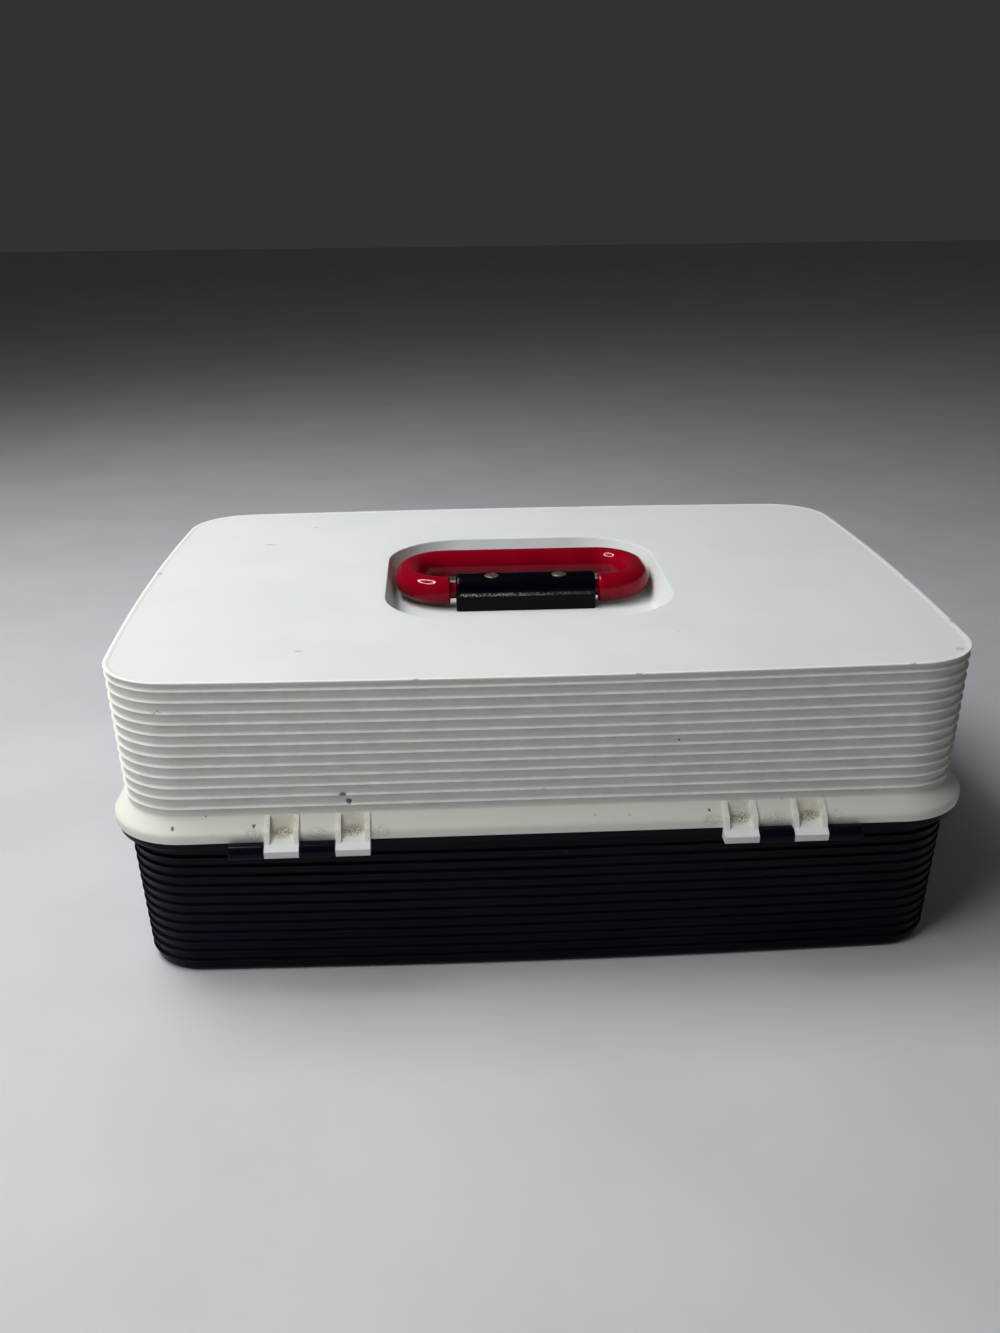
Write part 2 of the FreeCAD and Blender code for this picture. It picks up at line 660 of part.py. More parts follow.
# Handle: a C-shaped loop of round bar whose ends carry the pivot stubs
def make_handle():
    body = new_body("handle_loop")
    end = "(Sizes.saddle_half_length + Sizes.handle_end_gap)"
    knee = "(Sizes.handle_half_width - Sizes.handle_bend)"
    near = "-Sizes.pivot_offset"
    far = "(Sizes.handle_drop - Sizes.pivot_offset)"
    path = new_sketch(body, "handle_path", "XY_Plane", pivot_z)
    corners = [
        (end, near),
        (knee, near),
        ("Sizes.handle_half_width", f"{near} + Sizes.handle_bend"),
        ("Sizes.handle_half_width", f"{far} - Sizes.handle_bend"),
        (knee, far),
        (f"-{knee}", far),
        ("-Sizes.handle_half_width", f"{far} - Sizes.handle_bend"),
        ("-Sizes.handle_half_width", f"{near} + Sizes.handle_bend"),
        (f"-{knee}", near),
        (f"-{end}", near),
    ]
    outline(path, corners, {side: ("Sizes.handle_bend", 1) for side in (1, 3, 5, 7)}, closed=False)
    section = yz_sketch(body, "handle_section", end)
    circle(section, near, pivot_z, "Sizes.handle_tube_radius")
    document.recompute()
    loop = body.newObject("PartDesign::AdditivePipe", "handle_bar")
    loop.Profile = section
    loop.Spine = (path, [])
    document.recompute()
    inner = f"({end} - Sizes.stub_length)"
    for word, low in (("right", inner), ("left", f"-{end} - Sizes.overrun")):
        stub = yz_sketch(body, f"stub_{word}_section", low)
        circle(stub, near, pivot_z, "Sizes.stub_radius")
        pad(body, stub, "Sizes.stub_length + Sizes.overrun", f"stub_{word}")
    stub_width = value("2 * Sizes.stub_radius")
    ease_edges(body, "handle_ends", "Sizes.handle_end_chamfer",
               lambda edge: at_x(edge, value(end)) and edge.BoundBox.ZLength > stub_width + TOUCH)
    path.Visibility = False
    return body


def at_x(edge, reach):
    """Whether an edge lies in the plane X = reach or X = -reach."""
    box = edge.BoundBox
    flat = box.XLength < TOUCH
    return flat and abs(abs(box.Center.x) - reach) < TOUCH


def ease_edges(body, name, size, wanted):
    """Chamfers the edges of the body's shape that the test picks."""
    base = body.Tip
    edges = [f"Edge{number}" for number, edge in enumerate(base.Shape.Edges, start=1) if wanted(edge)]
    if not edges:
        raise RuntimeError(f"{name} finds no edge")
    feature = body.newObject("PartDesign::Chamfer", name)
    feature.Base = (base, edges)
    feature.setExpression("Size", size)
    document.recompute()
    return feature


# Saddle: the bracket over the handle's stubs, with a slot for each stub and two counterbored screw holes
def make_saddle():
    body = new_body("handle_saddle")
    middle = "-Sizes.pivot_offset"
    section = yz_sketch(body, "saddle_section", "-Sizes.saddle_half_length")
    corners = [
        (f"{middle} - Sizes.saddle_radius", recess_z),
        (f"{middle} + Sizes.saddle_radius", recess_z),
        (f"{middle} + Sizes.saddle_radius", pivot_z),
        (middle, f"{pivot_z} + Sizes.saddle_radius"),
        (f"{middle} - Sizes.saddle_radius", pivot_z),
    ]
    crest = {2: ("Sizes.saddle_radius", 1), 3: ("Sizes.saddle_radius", 1)}
    outline(section, corners, crest)
    pad(body, section, "2 * Sizes.saddle_half_length", "saddle_block")
    reach = value("Sizes.saddle_half_length")
    ease_edges(body, "saddle_ends", "Sizes.saddle_chamfer",
                lambda edge: at_x(edge, reach) and edge.BoundBox.ZMax > value(recess_z) + TOUCH)
    slot_length = "(Sizes.stub_length - Sizes.handle_end_gap + Sizes.stub_end_gap)"
    bore = "(Sizes.stub_radius + Sizes.stub_play)"
    for word, low in (("right", f"Sizes.saddle_half_length - {slot_length}"),
                      ("left", "-Sizes.saddle_half_length - Sizes.overrun")):
        slot = yz_sketch(body, f"slot_{word}_section", low)
        corners = [
            (f"{middle} - {bore}", f"{recess_z} - Sizes.overrun"),
            (f"{middle} + {bore}", f"{recess_z} - Sizes.overrun"),
            (f"{middle} + {bore}", pivot_z),
            (middle, f"{pivot_z} + {bore}"),
            (f"{middle} - {bore}", pivot_z),
        ]
        outline(slot, corners, {2: (bore, 1), 3: (bore, 1)})
        pocket(body, slot, f"{slot_length} + Sizes.overrun", f"slot_{word}", Reversed=True)
    top = f"({pivot_z} + Sizes.saddle_radius)"
    for radius, depth, name in (
            ("(Sizes.screw_radius + Sizes.screw_hole_play)", f"{top} - {recess_z} + Sizes.overrun", "screw_holes"),
            ("(Sizes.screw_head_radius + Sizes.screw_head_play)", "Sizes.screw_sink + Sizes.screw_head_height",
             "counterbores")):
        holes = new_sketch(body, name + "_plan", "XY_Plane", top)
        for sign in ("", "-"):
            circle(holes, f"{sign}Sizes.screw_spacing / 2", middle, radius)
        pocket(body, holes, depth, name)
    return body


# Screws of the saddle: a domed head with a driver slot, and a shank down into the boss
def make_screw(label, sign):
    body = new_body(label)
    seat = f"({pivot_z} + Sizes.saddle_radius - Sizes.screw_sink - Sizes.screw_head_height)"
    tip = f"({recess_z} - Sizes.recess_floor - Sizes.boss_length)"
    x = f"{sign}Sizes.screw_spacing / 2"
    y = "-Sizes.pivot_offset"
    head = new_sketch(body, label + "_head_plan", "XY_Plane", seat)
    circle(head, x, y, "Sizes.screw_head_radius")
    pad(body, head, "Sizes.screw_head_height", label + "_head")
    ease_edges(body, label + "_head_edge", "Sizes.screw_head_chamfer",
                lambda edge: edge.BoundBox.ZMin > value(seat) + TOUCH and edge.Closed)
    shank = new_sketch(body, label + "_shank_plan", "XY_Plane", seat)
    circle(shank, x, y, "Sizes.screw_radius")
    pad(body, shank, f"{seat} - {tip}", label + "_shank", Reversed=True)
    slot = new_sketch(body, label + "_slot_plan", "XY_Plane", f"{seat} + Sizes.screw_head_height")
    half = "Sizes.screw_slot_width / 2"
    reach = "(Sizes.screw_head_radius + Sizes.overrun)"
    rectangle(slot, f"{x} - {reach}", f"{x} + {reach}", f"{y} - {half}", f"{y} + {half}")
    pocket(body, slot, "Sizes.screw_slot_depth", label + "_slot")
    return body


# Latches: a hooked plate on a barrel, drawn about its pin and hung released from the keeper
def make_latch(label, sign):
    body = new_body(label)
    section = yz_sketch(body, label + "_section", "-Sizes.latch_width / 2")
    hook_top = "-(Sizes.latch_rise + Sizes.rim_thickness + Sizes.latch_hook_gap)"
    hook_foot = f"({hook_top} - Sizes.latch_hook_height)"
    nose = "-(Sizes.latch_reach - Sizes.rim_reach + Sizes.latch_bite)"
    outer = "Sizes.latch_barrel"
    inner = "(Sizes.latch_barrel - Sizes.latch_plate)"
    corners = [
        (outer, "0"),
        ("0", "Sizes.latch_barrel"),
        ("-Sizes.latch_barrel", "0"),
        ("0", "-Sizes.latch_barrel"),
        (inner, "-Sizes.latch_barrel - Sizes.latch_plate / 2"),
        (inner, hook_top),
        (nose, hook_top),
        (nose, f"{hook_top} - Sizes.latch_nose_share * Sizes.latch_hook_height"),
        (f"{nose} + Sizes.latch_nose_share * Sizes.latch_hook_height", hook_foot),
        (inner, hook_foot),
        (inner, "-Sizes.latch_drop + Sizes.latch_lip_height"),
        (f"{inner} + Sizes.latch_lip_reach", "-Sizes.latch_drop"),
        (f"{outer} + Sizes.latch_lip_reach", "-Sizes.latch_drop"),
        (outer, "-Sizes.latch_drop + Sizes.latch_lip_height"),
    ]
    barrel = ("Sizes.latch_barrel", 1)
    outline(section, corners, {0: barrel, 1: barrel, 2: barrel})
    pad(body, section, "Sizes.latch_width", label + "_plate")
    pin_bore(body, label + "_bore", "-Sizes.latch_width / 2", "Sizes.latch_width", "0", "0",
             "(Sizes.latch_pin_radius + Sizes.pin_play)")
    body.Placement = FreeCAD.Placement(FreeCAD.Vector(), FreeCAD.Rotation(FreeCAD.Vector(1, 0, 0), 1))
    body.setExpression("Placement.Rotation.Angle", "Sizes.latch_release")
    body.setExpression("Placement.Base.x", f"{sign}Sizes.latch_centre")
    body.setExpression("Placement.Base.y", latch_y)
    body.setExpression("Placement.Base.z", latch_z)
    return body


# Tape racks: open trays whose long walls carry a comb of short ribs, one slot for each cased tape
def make_rack(label, place):
    body = new_body(label)
    half_length = "(Sizes.slot_count * Sizes.slot_pitch / 2)"
    half_channel = "(Sizes.rack_channel / 2)"
    tray = new_sketch(body, label + "_plan", "XY_Plane")
    rounded_rectangle(tray, f"({half_length} + Sizes.rack_wall)", f"({half_channel} + Sizes.rack_wall)",
                      "Sizes.rack_corner")
    pad(body, tray, "Sizes.rack_height", label + "_tray")
    channel = new_sketch(body, label + "_channel_plan", "XY_Plane", "Sizes.rack_height")
    rectangle(channel, f"-{half_length}", half_length, f"-{half_channel}", half_channel)
    pocket(body, channel, "Sizes.rack_height - Sizes.rack_floor", label + "_channel")
    comb = new_sketch(body, label + "_comb_plan", "XY_Plane", "Sizes.rack_floor")
    left = f"(Sizes.slot_pitch - {half_length} - Sizes.comb_thickness / 2)"
    for low, high in ((f"-{half_channel}", f"-({half_channel} - Sizes.comb_depth)"),
                      (f"{half_channel} - Sizes.comb_depth", half_channel)):
        rectangle(comb, left, f"{left} + Sizes.comb_thickness", low, high)
    rib = pad(body, comb, "Sizes.rack_height - Sizes.rack_floor - Sizes.comb_drop", label + "_rib")
    pattern = body.newObject("PartDesign::LinearPattern", label + "_comb")
    pattern.Originals = [rib]
    x_axis = next(axis for axis in body.Origin.OriginFeatures if axis.Role == "X_Axis")
    pattern.Direction = (x_axis, [""])
    pattern.setExpression("Length", "(Sizes.slot_count - 2) * Sizes.slot_pitch")
    pattern.setExpression("Occurrences", "Sizes.slot_count - 1")
    body.Tip = pattern
    rack_pitch = "(Sizes.rack_channel + 2 * Sizes.rack_wall + Sizes.rack_spacing)"
    body.setExpression("Placement.Base.y", f"{place} * {rack_pitch}")
    body.setExpression("Placement.Base.z", "Sizes.floor_thickness")
    document.recompute()
    return body


pieces = [make_lid(), make_base(), make_handle(), make_saddle()]
for word, sign in (("left", "-"), ("right", "")):
    pieces.append(make_screw(f"handle_screw_{word}", sign))
    pieces.append(make_latch(f"latch_{word}", sign))
    low = f"({hinge_low(1 if word == 'right' else -1)} + Sizes.knuckle_gap / 2)"
    pieces.append(make_pin(f"hinge_pin_{word}", low, f"{KNUCKLES} * Sizes.knuckle_width - Sizes.knuckle_gap",
                           f"-{hinge_y}", hinge_z, "Sizes.hinge_pin_radius"))
    half = "(Sizes.latch_width / 2 + Sizes.latch_side_gap + Sizes.ear_width)"
    pieces.append(make_pin(f"latch_pin_{word}", f"{sign}Sizes.latch_centre - {half}", f"2 * {half}",
                           latch_y, latch_z, "Sizes.latch_pin_radius"))
for word, place in (("rear", -1), ("middle", 0), ("front", 1)):
    pieces.append(make_rack(f"rack_{word}", place))
document.recompute()

# Every object and every piece is sound before anything is written
for item in document.Objects:
    if "Invalid" in item.State or "Error" in item.State:
        raise RuntimeError(f"{item.Label} failed")
for piece in pieces:
    if piece.Shape.isNull() or not piece.Shape.isValid() or len(piece.Shape.Solids) != 1:
        raise RuntimeError(f"{piece.Label} has no sound solid")
os.makedirs("parts", exist_ok=True)
for piece in pieces:
    piece.Shape.exportStep(f"parts/{piece.Label}.step")
    print(piece.Label, round(piece.Shape.Volume, 1))
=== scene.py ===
# %% [markdown]
# # A cassette tape case
#
# This notebook dresses the CAD model of a two-part moulded case: a white ribbed lid with a folding red handle
# sunk in its top, and a blue-black ribbed base. The CAD model is loaded first and stays as it is: it says where
# every piece sits and what it moves with. Each new surface is worked out with numpy and takes a piece's place.

# %% Load the CAD model
import math

import bpy
import numpy as np
from mathutils import Matrix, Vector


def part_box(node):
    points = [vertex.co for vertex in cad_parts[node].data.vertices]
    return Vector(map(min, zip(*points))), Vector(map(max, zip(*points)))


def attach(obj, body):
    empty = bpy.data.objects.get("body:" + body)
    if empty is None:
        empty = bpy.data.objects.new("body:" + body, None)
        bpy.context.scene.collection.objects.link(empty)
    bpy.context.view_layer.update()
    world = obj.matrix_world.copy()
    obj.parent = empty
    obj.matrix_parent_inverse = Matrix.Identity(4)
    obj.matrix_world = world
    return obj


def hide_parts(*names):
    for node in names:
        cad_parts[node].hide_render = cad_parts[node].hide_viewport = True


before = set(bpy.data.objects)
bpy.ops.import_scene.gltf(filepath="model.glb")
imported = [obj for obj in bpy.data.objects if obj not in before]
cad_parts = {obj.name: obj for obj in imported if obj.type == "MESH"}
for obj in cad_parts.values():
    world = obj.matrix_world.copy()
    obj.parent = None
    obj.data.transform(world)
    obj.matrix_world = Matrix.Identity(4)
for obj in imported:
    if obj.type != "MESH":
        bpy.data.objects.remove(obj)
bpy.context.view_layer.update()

# %% [markdown]
# ## The camera
#
# The picture is 1000 by 1333 pixels. A perspective camera is set by where it stands, which way it looks and how
# long its lens is. Here its three directions are written down: right, up and forward. The lens follows from the
# focal length in pixels: the sensor's 36 mm lie along the longer side of the picture.

# %% Camera
PICTURE = (1000, 1333)
FOCAL_PIXELS = 1282.48
SENSOR_MM = 36.0
EYE = np.array([-0.0405, -0.60249, 0.31999])
RIGHT = np.array([0.998721, -0.049657, -0.0095])
UP = np.array([0.026592, 0.356231, 0.93402])
FORWARD = np.array([0.04302, 0.93308, -0.35707])

camera_data = bpy.data.cameras.new("camera")
camera_data.sensor_width = SENSOR_MM
camera_data.lens = FOCAL_PIXELS / max(PICTURE) * SENSOR_MM
camera_data.clip_start = 0.01
camera = bpy.data.objects.new("camera", camera_data)
bpy.context.scene.collection.objects.link(camera)
camera_axes = Matrix([list(RIGHT), list(UP), list(-FORWARD)]).transposed().to_4x4()
camera.matrix_world = Matrix.Translation(EYE.tolist()) @ camera_axes
bpy.context.scene.camera = camera
print("lens, mm:", round(camera_data.lens, 2))

# %% [markdown]
# ## From arrays to meshes
#
# Every new piece below is a grid of points: rows of points that each run round or along the piece. Neighbouring
# rows are joined by four-sided faces. A row can be shrunk to one point, a pole, which closes an end with
# triangles. Where an end's outline is hollow, as a hook's is, triangles from one point would lie across the hollow,
# so such an end is one face of many corners. The mesh is filled from whole arrays, with no loop over points.

# %% Mesh helpers
MM = 0.001
SMOOTH_ANGLE = math.radians(32)


def grid_faces(rows, columns):
    """Quads between neighbouring rows of closed curves: point (i, j) has number i * columns + j."""
    i, j = np.meshgrid(np.arange(rows - 1), np.arange(columns), indexing="ij")
    after_i, after_j = i + 1, (j + 1) % columns
    corners = [i * columns + j, after_i * columns + j, after_i * columns + after_j, i * columns + after_j]
    return np.stack(corners, axis=-1).reshape(-1, 4)


def signed_volume(points, faces):
    """Volume inside a closed mesh: a sixth of the sum of a . (b x c) over its triangles, negative if inside out."""
    total = 0.0
    for triangle in (faces[:, [0, 1, 2]], faces[:, [0, 2, 3]]):
        a, b, c = (points[triangle[:, k]] for k in range(3))
        total += np.einsum("ij,ij->i", a, np.cross(b, c)).sum() / 6
    return total


def mesh_from(name, points, faces, caps=()):
    """
    A mesh object from points in millimetres, four-sided faces, and caps of one face with many corners each. A face
    with a repeated corner becomes a triangle, and a shape that is inside out is turned.
    """
    if signed_volume(points - points.mean(axis=0), faces) < 0:
        faces, caps = faces[:, ::-1], [cap[::-1] for cap in caps]
    keep = faces != np.roll(faces, 1, axis=1)
    keep[:, 0] |= ~keep.any(axis=1)
    counts = keep.sum(axis=1)
    faces, keep, counts = faces[counts > 2], keep[counts > 2], counts[counts > 2]
    corners = np.concatenate([faces[keep], *caps]).astype(np.int32)
    counts = np.concatenate([counts, [len(cap) for cap in caps]]).astype(int)
    mesh = bpy.data.meshes.new(name)
    mesh.vertices.add(len(points))
    mesh.vertices.foreach_set("co", (points * MM).astype(np.float32).ravel())
    mesh.loops.add(int(counts.sum()))
    mesh.loops.foreach_set("vertex_index", corners)
    mesh.polygons.add(len(counts))
    starts = np.concatenate([[0], np.cumsum(counts)[:-1]]).astype(np.int32)
    mesh.polygons.foreach_set("loop_start", starts)
    mesh.update(calc_edges=True)
    mesh.validate()
    mesh.shade_smooth()
    mesh.set_sharp_from_angle(angle=SMOOTH_ANGLE)
    piece = bpy.data.objects.new(name, mesh)
    bpy.context.scene.collection.objects.link(piece)
    return piece


# %% [markdown]
# Three ways lead to points and faces: rows that end in a pole, rows that end in a cap, and several shapes put
# together as one.

# %% Rows to faces
def joined(*parts):
    """Several (points, faces) put in one list, with the numbers of the later faces moved up."""
    points, faces, start = [], [], 0
    for part_points, part_faces in parts:
        points.append(part_points)
        faces.append(part_faces + start)
        start += len(part_points)
    return np.concatenate(points), np.concatenate(faces)


def closed_rows(rows):
    """Points and faces of rows of a closed curve, with a pole at the middle of the first and of the last row."""
    count = rows.shape[1]
    first, last = (np.repeat(row.mean(axis=1, keepdims=True), count, axis=1) for row in (rows[:1], rows[-1:]))
    points = np.concatenate([first, rows, last]).reshape(-1, 3)
    faces = grid_faces(len(rows) + 2, count)
    numbers = np.arange(len(points))
    numbers[:count] = 0
    numbers[-count:] = len(points) - 1
    return points, numbers[faces]


def capped_rows(rows):
    """Points and faces of rows of a closed curve, and a cap of many corners at each end, for hollow outlines."""
    count = rows.shape[1]
    numbers = np.arange(len(rows) * count)
    return rows.reshape(-1, 3), grid_faces(len(rows), count), [numbers[:count], numbers[-count:][::-1]]


# %% [markdown]
# A finished piece is tied to the body that it moves with, and is given a material. Where
# it takes the place of CAD nodes, those are hidden.

# %% Dressing
def dress(piece, body, slot, material, *nodes):
    """Puts a piece on its body and gives it its material; the CAD nodes that it stands for are hidden."""
    piece.data.materials.clear()
    piece.data.materials.append(material)
    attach(piece, body)
    if nodes:
        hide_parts(*nodes)
    print(f"{piece.name}: {len(piece.data.polygons)} faces")


# %% [markdown]
# ## Rounded profiles
#
# Moulded plastic has no sharp corners. A profile is written as its few true corners, each with a radius, and
# this helper turns each corner into an arc that touches both straight runs.

# %% Profile helper
FREE_SHARE = 0.49
SMALLEST_ARC = 1e-4


def rounded(corners, arc_steps=4):
    """
    Points along a polyline whose corners are rounded. A corner is (across, along, radius). The arc starts
    radius * tan(half the turn) before the corner, at most FREE_SHARE of the shorter run, and ends as far after it.
    """
    corners = np.asarray(corners, float)
    spots, radii = corners[:, :2], corners[:, 2]
    path = [spots[0]]
    for before, spot, after, radius in zip(spots[:-2], spots[1:-1], spots[2:], radii[1:-1]):
        back, ahead = before - spot, after - spot
        back_length, ahead_length = np.hypot(*back), np.hypot(*ahead)
        back, ahead = back / back_length, ahead / ahead_length
        turn = math.pi - math.acos(np.clip(back @ ahead, -1, 1))
        reach = min(radius * math.tan(turn / 2), FREE_SHARE * back_length, FREE_SHARE * ahead_length)
        if reach < SMALLEST_ARC:
            path.append(spot)
            continue
        share = np.linspace(0, 1, arc_steps + 1)[:, None]
        true_radius = reach / math.tan(turn / 2)
        middle = spot + (back + ahead) / np.hypot(*(back + ahead)) * math.hypot(true_radius, reach)
        start, end = spot + back * reach - middle, spot + ahead * reach - middle
        weights = np.sin((1 - share) * turn) / math.sin(turn), np.sin(share * turn) / math.sin(turn)
        path.extend(middle + start * weights[0] + end * weights[1])
    path.append(spots[-1])
    return np.array(path)


# %% [markdown]
# ## The plan of the case
#
# Seen from above the case is a rounded rectangle whose sides bow out by a few millimetres, as large mouldings do
# so that they don't sink in when they cool. Eight arcs make it: four corners and four very large side arcs that
# touch them. An outline further out or in has the same arcs with larger or smaller radii, so one table of
# points and outward directions gives every outline of the shells. The front side has a few more points, because
# the flange steps back there in the pockets of the hinges.

# %% Sizes of the plan
HALF_WIDTH, HALF_DEPTH = 180.0, 133.6
CORNER_RADIUS = 31.2
SIDE_BOW = 2.6
CORNER_STEPS, SIDE_STEPS = 22, 22
APEX_X = HALF_WIDTH + SIDE_BOW
HINGE_CENTRE, KNUCKLE_WIDTH, KNUCKLE_GAP, CHEEK = 101.2, 14.4, 0.4, 2.2
POCKET_MIDDLES = np.array([side * (HINGE_CENTRE + step * KNUCKLE_WIDTH)
                           for side in (-1, 1) for step in (-1.5, 0.5)])
POCKET_OVERLAP, POCKET_SLOPE = 0.8, 0.05
POCKET_HALF = (KNUCKLE_WIDTH - KNUCKLE_GAP) / 2 - CHEEK + POCKET_OVERLAP
FRONT_SIDE = 3


def side_shares(turn):
    """
    Places of the points along a side, from -1 up to 1. The front side also has two at each side of a pocket,
    POCKET_SLOPE apart, so that the flange can step back there.
    """
    shares = np.linspace(-1, 1, SIDE_STEPS, endpoint=False)
    if turn == FRONT_SIDE:
        edges = [middle + end * (POCKET_HALF + step)
                 for middle in POCKET_MIDDLES for end in (-1, 1) for step in (0, POCKET_SLOPE)]
        shares = np.sort(np.concatenate([shares, np.array(edges) / (HALF_WIDTH - CORNER_RADIUS)]))
    return shares


# %% Bowed outline
def arc_plan(arcs):
    """Points and outward directions on arcs of (centre x, centre y, radius, angles): centre + radius * (cos, sin)."""
    points, outward = [], []
    for x, y, radius, angle in arcs:
        direction = np.stack([np.cos(angle), np.sin(angle)], axis=1)
        points.append(np.array([x, y]) + radius * direction)
        outward.append(direction)
    return np.concatenate(points), np.concatenate(outward)


def bowed_plan():
    """
    The case's outline. A side's radius R follows from its bow b over the half span s between the corner centres,
    with corner radius r: the side's circle touches the corner circles inside, so R = ((r+b)^2 + s^2 - r^2) / 2b.
    """
    knee_x, knee_y = HALF_WIDTH - CORNER_RADIUS, HALF_DEPTH - CORNER_RADIUS
    rise = CORNER_RADIUS + SIDE_BOW
    end_radius = (rise ** 2 + knee_y ** 2 - CORNER_RADIUS ** 2) / (2 * SIDE_BOW)
    face_radius = (rise ** 2 + knee_x ** 2 - CORNER_RADIUS ** 2) / (2 * SIDE_BOW)
    end_centre = APEX_X - end_radius
    face_centre = HALF_DEPTH + SIDE_BOW - face_radius
    end_angle = math.atan2(knee_y, knee_x - end_centre)
    face_angle = math.atan2(knee_x, knee_y - face_centre)
    quarter = math.pi / 2
    arcs = []
    for turn in range(4):
        on_end = turn % 2 == 0
        spread, following = (end_angle, face_angle) if on_end else (face_angle, end_angle)
        radius, centre = (end_radius, end_centre) if on_end else (face_radius, face_centre)
        start = turn * quarter
        arcs.append((round(math.cos(start)) * centre, round(math.sin(start)) * centre, radius,
                     start + spread * side_shares(turn)))
        side_x = 1 if turn in (0, 3) else -1
        side_y = 1 if turn in (0, 1) else -1
        arcs.append((side_x * knee_x, side_y * knee_y, CORNER_RADIUS,
                     np.linspace(start + spread, start + quarter - following, CORNER_STEPS, endpoint=False)))
    return arc_plan(arcs)


# %% [markdown]
# The recess in the top and the flange at the mouth have straight sides. Their outline has as many points as the
# bowed one, so that the two can be blended and joined point by point.

# %% Straight outline
def straight_plan(half_x, half_y, radius, middle_y):
    """A rounded rectangle with the same count of points on its sides and corners as the bowed outline."""
    points, outward = [], []
    knee_x, knee_y = half_x - radius, half_y - radius
    for turn in range(4):
        start = turn * math.pi / 2
        direction = np.array([math.cos(start), math.sin(start)])
        side = np.array([-direction[1], direction[0]])
        reach, span = (half_x, knee_y) if turn % 2 == 0 else (half_y, knee_x)
        share = side_shares(turn)[:, None]
        points.append(direction * reach + side * span * share)
        outward.append(np.repeat(direction[None], len(share), axis=0))
        knee = np.array([knee_x if turn in (0, 3) else -knee_x, knee_y if turn in (0, 1) else -knee_y])
        angle = np.linspace(start, start + math.pi / 2, CORNER_STEPS, endpoint=False)
        around = np.stack([np.cos(angle), np.sin(angle)], axis=1)
        points.append(knee + radius * around)
        outward.append(around)
    return np.concatenate(points) + np.array([0, middle_y]), np.concatenate(outward)


# %% [markdown]
# A wall is made by carrying its profile round an outline. Flat parts, such as the top, are rows on straight lines
# between two outlines, or an outline that shrinks to its middle.

# %% Rows from an outline
def carried(plan, profile):
    """Rows of points: each profile point (reach, level) gives the plan moved outward by reach at that level."""
    points, outward = plan
    reach, level = profile[:, 0], profile[:, 1]
    flat = points[None] + reach[:, None, None] * outward[None]
    height = np.repeat(level[:, None, None], len(points), axis=1)
    return np.concatenate([flat, height], axis=2)


def between(first_row, last_row, shares):
    """Rows on straight lines between two rows: first + share * (last - first)."""
    return first_row[None] + np.asarray(shares)[:, None, None] * (last_row - first_row)[None]


def shrunk(row, middle_y, shares):
    """Rows that shrink a row towards a point on the case's middle line: middle + share * (row - middle)."""
    middle = np.array([0, middle_y, row[0, 2]])
    return between(np.repeat(middle[None], len(row), axis=0), row, shares)


case_plan = bowed_plan()
square_plan = straight_plan(HALF_WIDTH, HALF_DEPTH, CORNER_RADIUS, 0)
print("plan points:", len(case_plan[0]))

# %% [markdown]
# The real outline changes from the top to the flange: the sides grow straighter, and the case spreads a little more
# to the front and back than to the ends. So a wall isn't one outline moved in and out, but a blend of two.

# %% Outlines that change with height
END_SHARE = 0.37


def carried_with_bow(profile, straightness, offset):
    """
    Rows round the case: plan = bowed + straightness * (straight - bowed), then moved outward by reach, and by
    offset to the front and back and END_SHARE * offset to the ends. Straightness and offset have one value for
    each point of the profile.
    """
    share = straightness[:, None, None]
    points = case_plan[0] + share * (square_plan[0] - case_plan[0])
    outward = case_plan[1] + np.clip(share, 0, 1) * (square_plan[1] - case_plan[1])
    outward = outward / np.linalg.norm(outward, axis=2, keepdims=True)
    flat = points + (profile[:, 0, None, None] + offset[:, None, None] * np.array([END_SHARE, 1])) * outward
    height = np.repeat(profile[:, 1][:, None, None], points.shape[1], axis=1)
    return np.concatenate([flat, height], axis=2)


# %% [markdown]
# ## Colours and shared effects
#
# A colour is written as it looks on screen, from 0 to 255, and changed to the linear light that Blender counts in.
# Effects that several materials share are node groups: fine mould grain, scattered specks, wandering scratches and
# single marks. Each puts out a mask between 0 and 1, and the material decides what the mask does.

# %% Node helpers
def shade(red, green, blue):
    """Linear colour of a screen colour: c / 12.92 below 0.04045, else ((c + 0.055) / 1.055) ^ 2.4."""
    levels = np.array([red, green, blue]) / 255
    linear = np.where(levels <= 0.04045, levels / 12.92, ((levels + 0.055) / 1.055) ** 2.4)
    return (*linear.tolist(), 1.0)


def feed(tree, source, socket):
    """Links a socket or sets a plain value."""
    if isinstance(source, bpy.types.NodeSocket):
        tree.links.new(source, socket)
    else:
        socket.default_value = source


def add_node(tree, kind, inputs=None, **settings):
    """A node of a kind, with its settings made and its inputs either set or linked."""
    node = tree.nodes.new(kind)
    for name, setting in settings.items():
        setattr(node, name, setting)
    for name, source in (inputs or {}).items():
        feed(tree, source, node.inputs[name])
    return node


def math_node(tree, operation, first, second=0.0):
    """The result of an operation on two values, or on the first alone, as for ABSOLUTE."""
    return add_node(tree, "ShaderNodeMath", {0: first, 1: second}, operation=operation).outputs[0]


def plus(tree, total, *others):
    """The sum of several values."""
    for other in others:
        total = math_node(tree, "ADD", total, other)
    return total


def times(tree, product, *others):
    """The product of several values. For masks it is the place where all of them hold."""
    for other in others:
        product = math_node(tree, "MULTIPLY", product, other)
    return product


def vector_node(tree, operation, first, second=(0.0, 0.0, 0.0)):
    """The result of an operation on two vectors, on a vector and a number for SCALE, or on one for LENGTH."""
    inputs = {0: first, "Scale" if operation == "SCALE" else 1: second}
    node = add_node(tree, "ShaderNodeVectorMath", inputs, operation=operation)
    return node.outputs["Value" if operation == "LENGTH" else "Vector"]


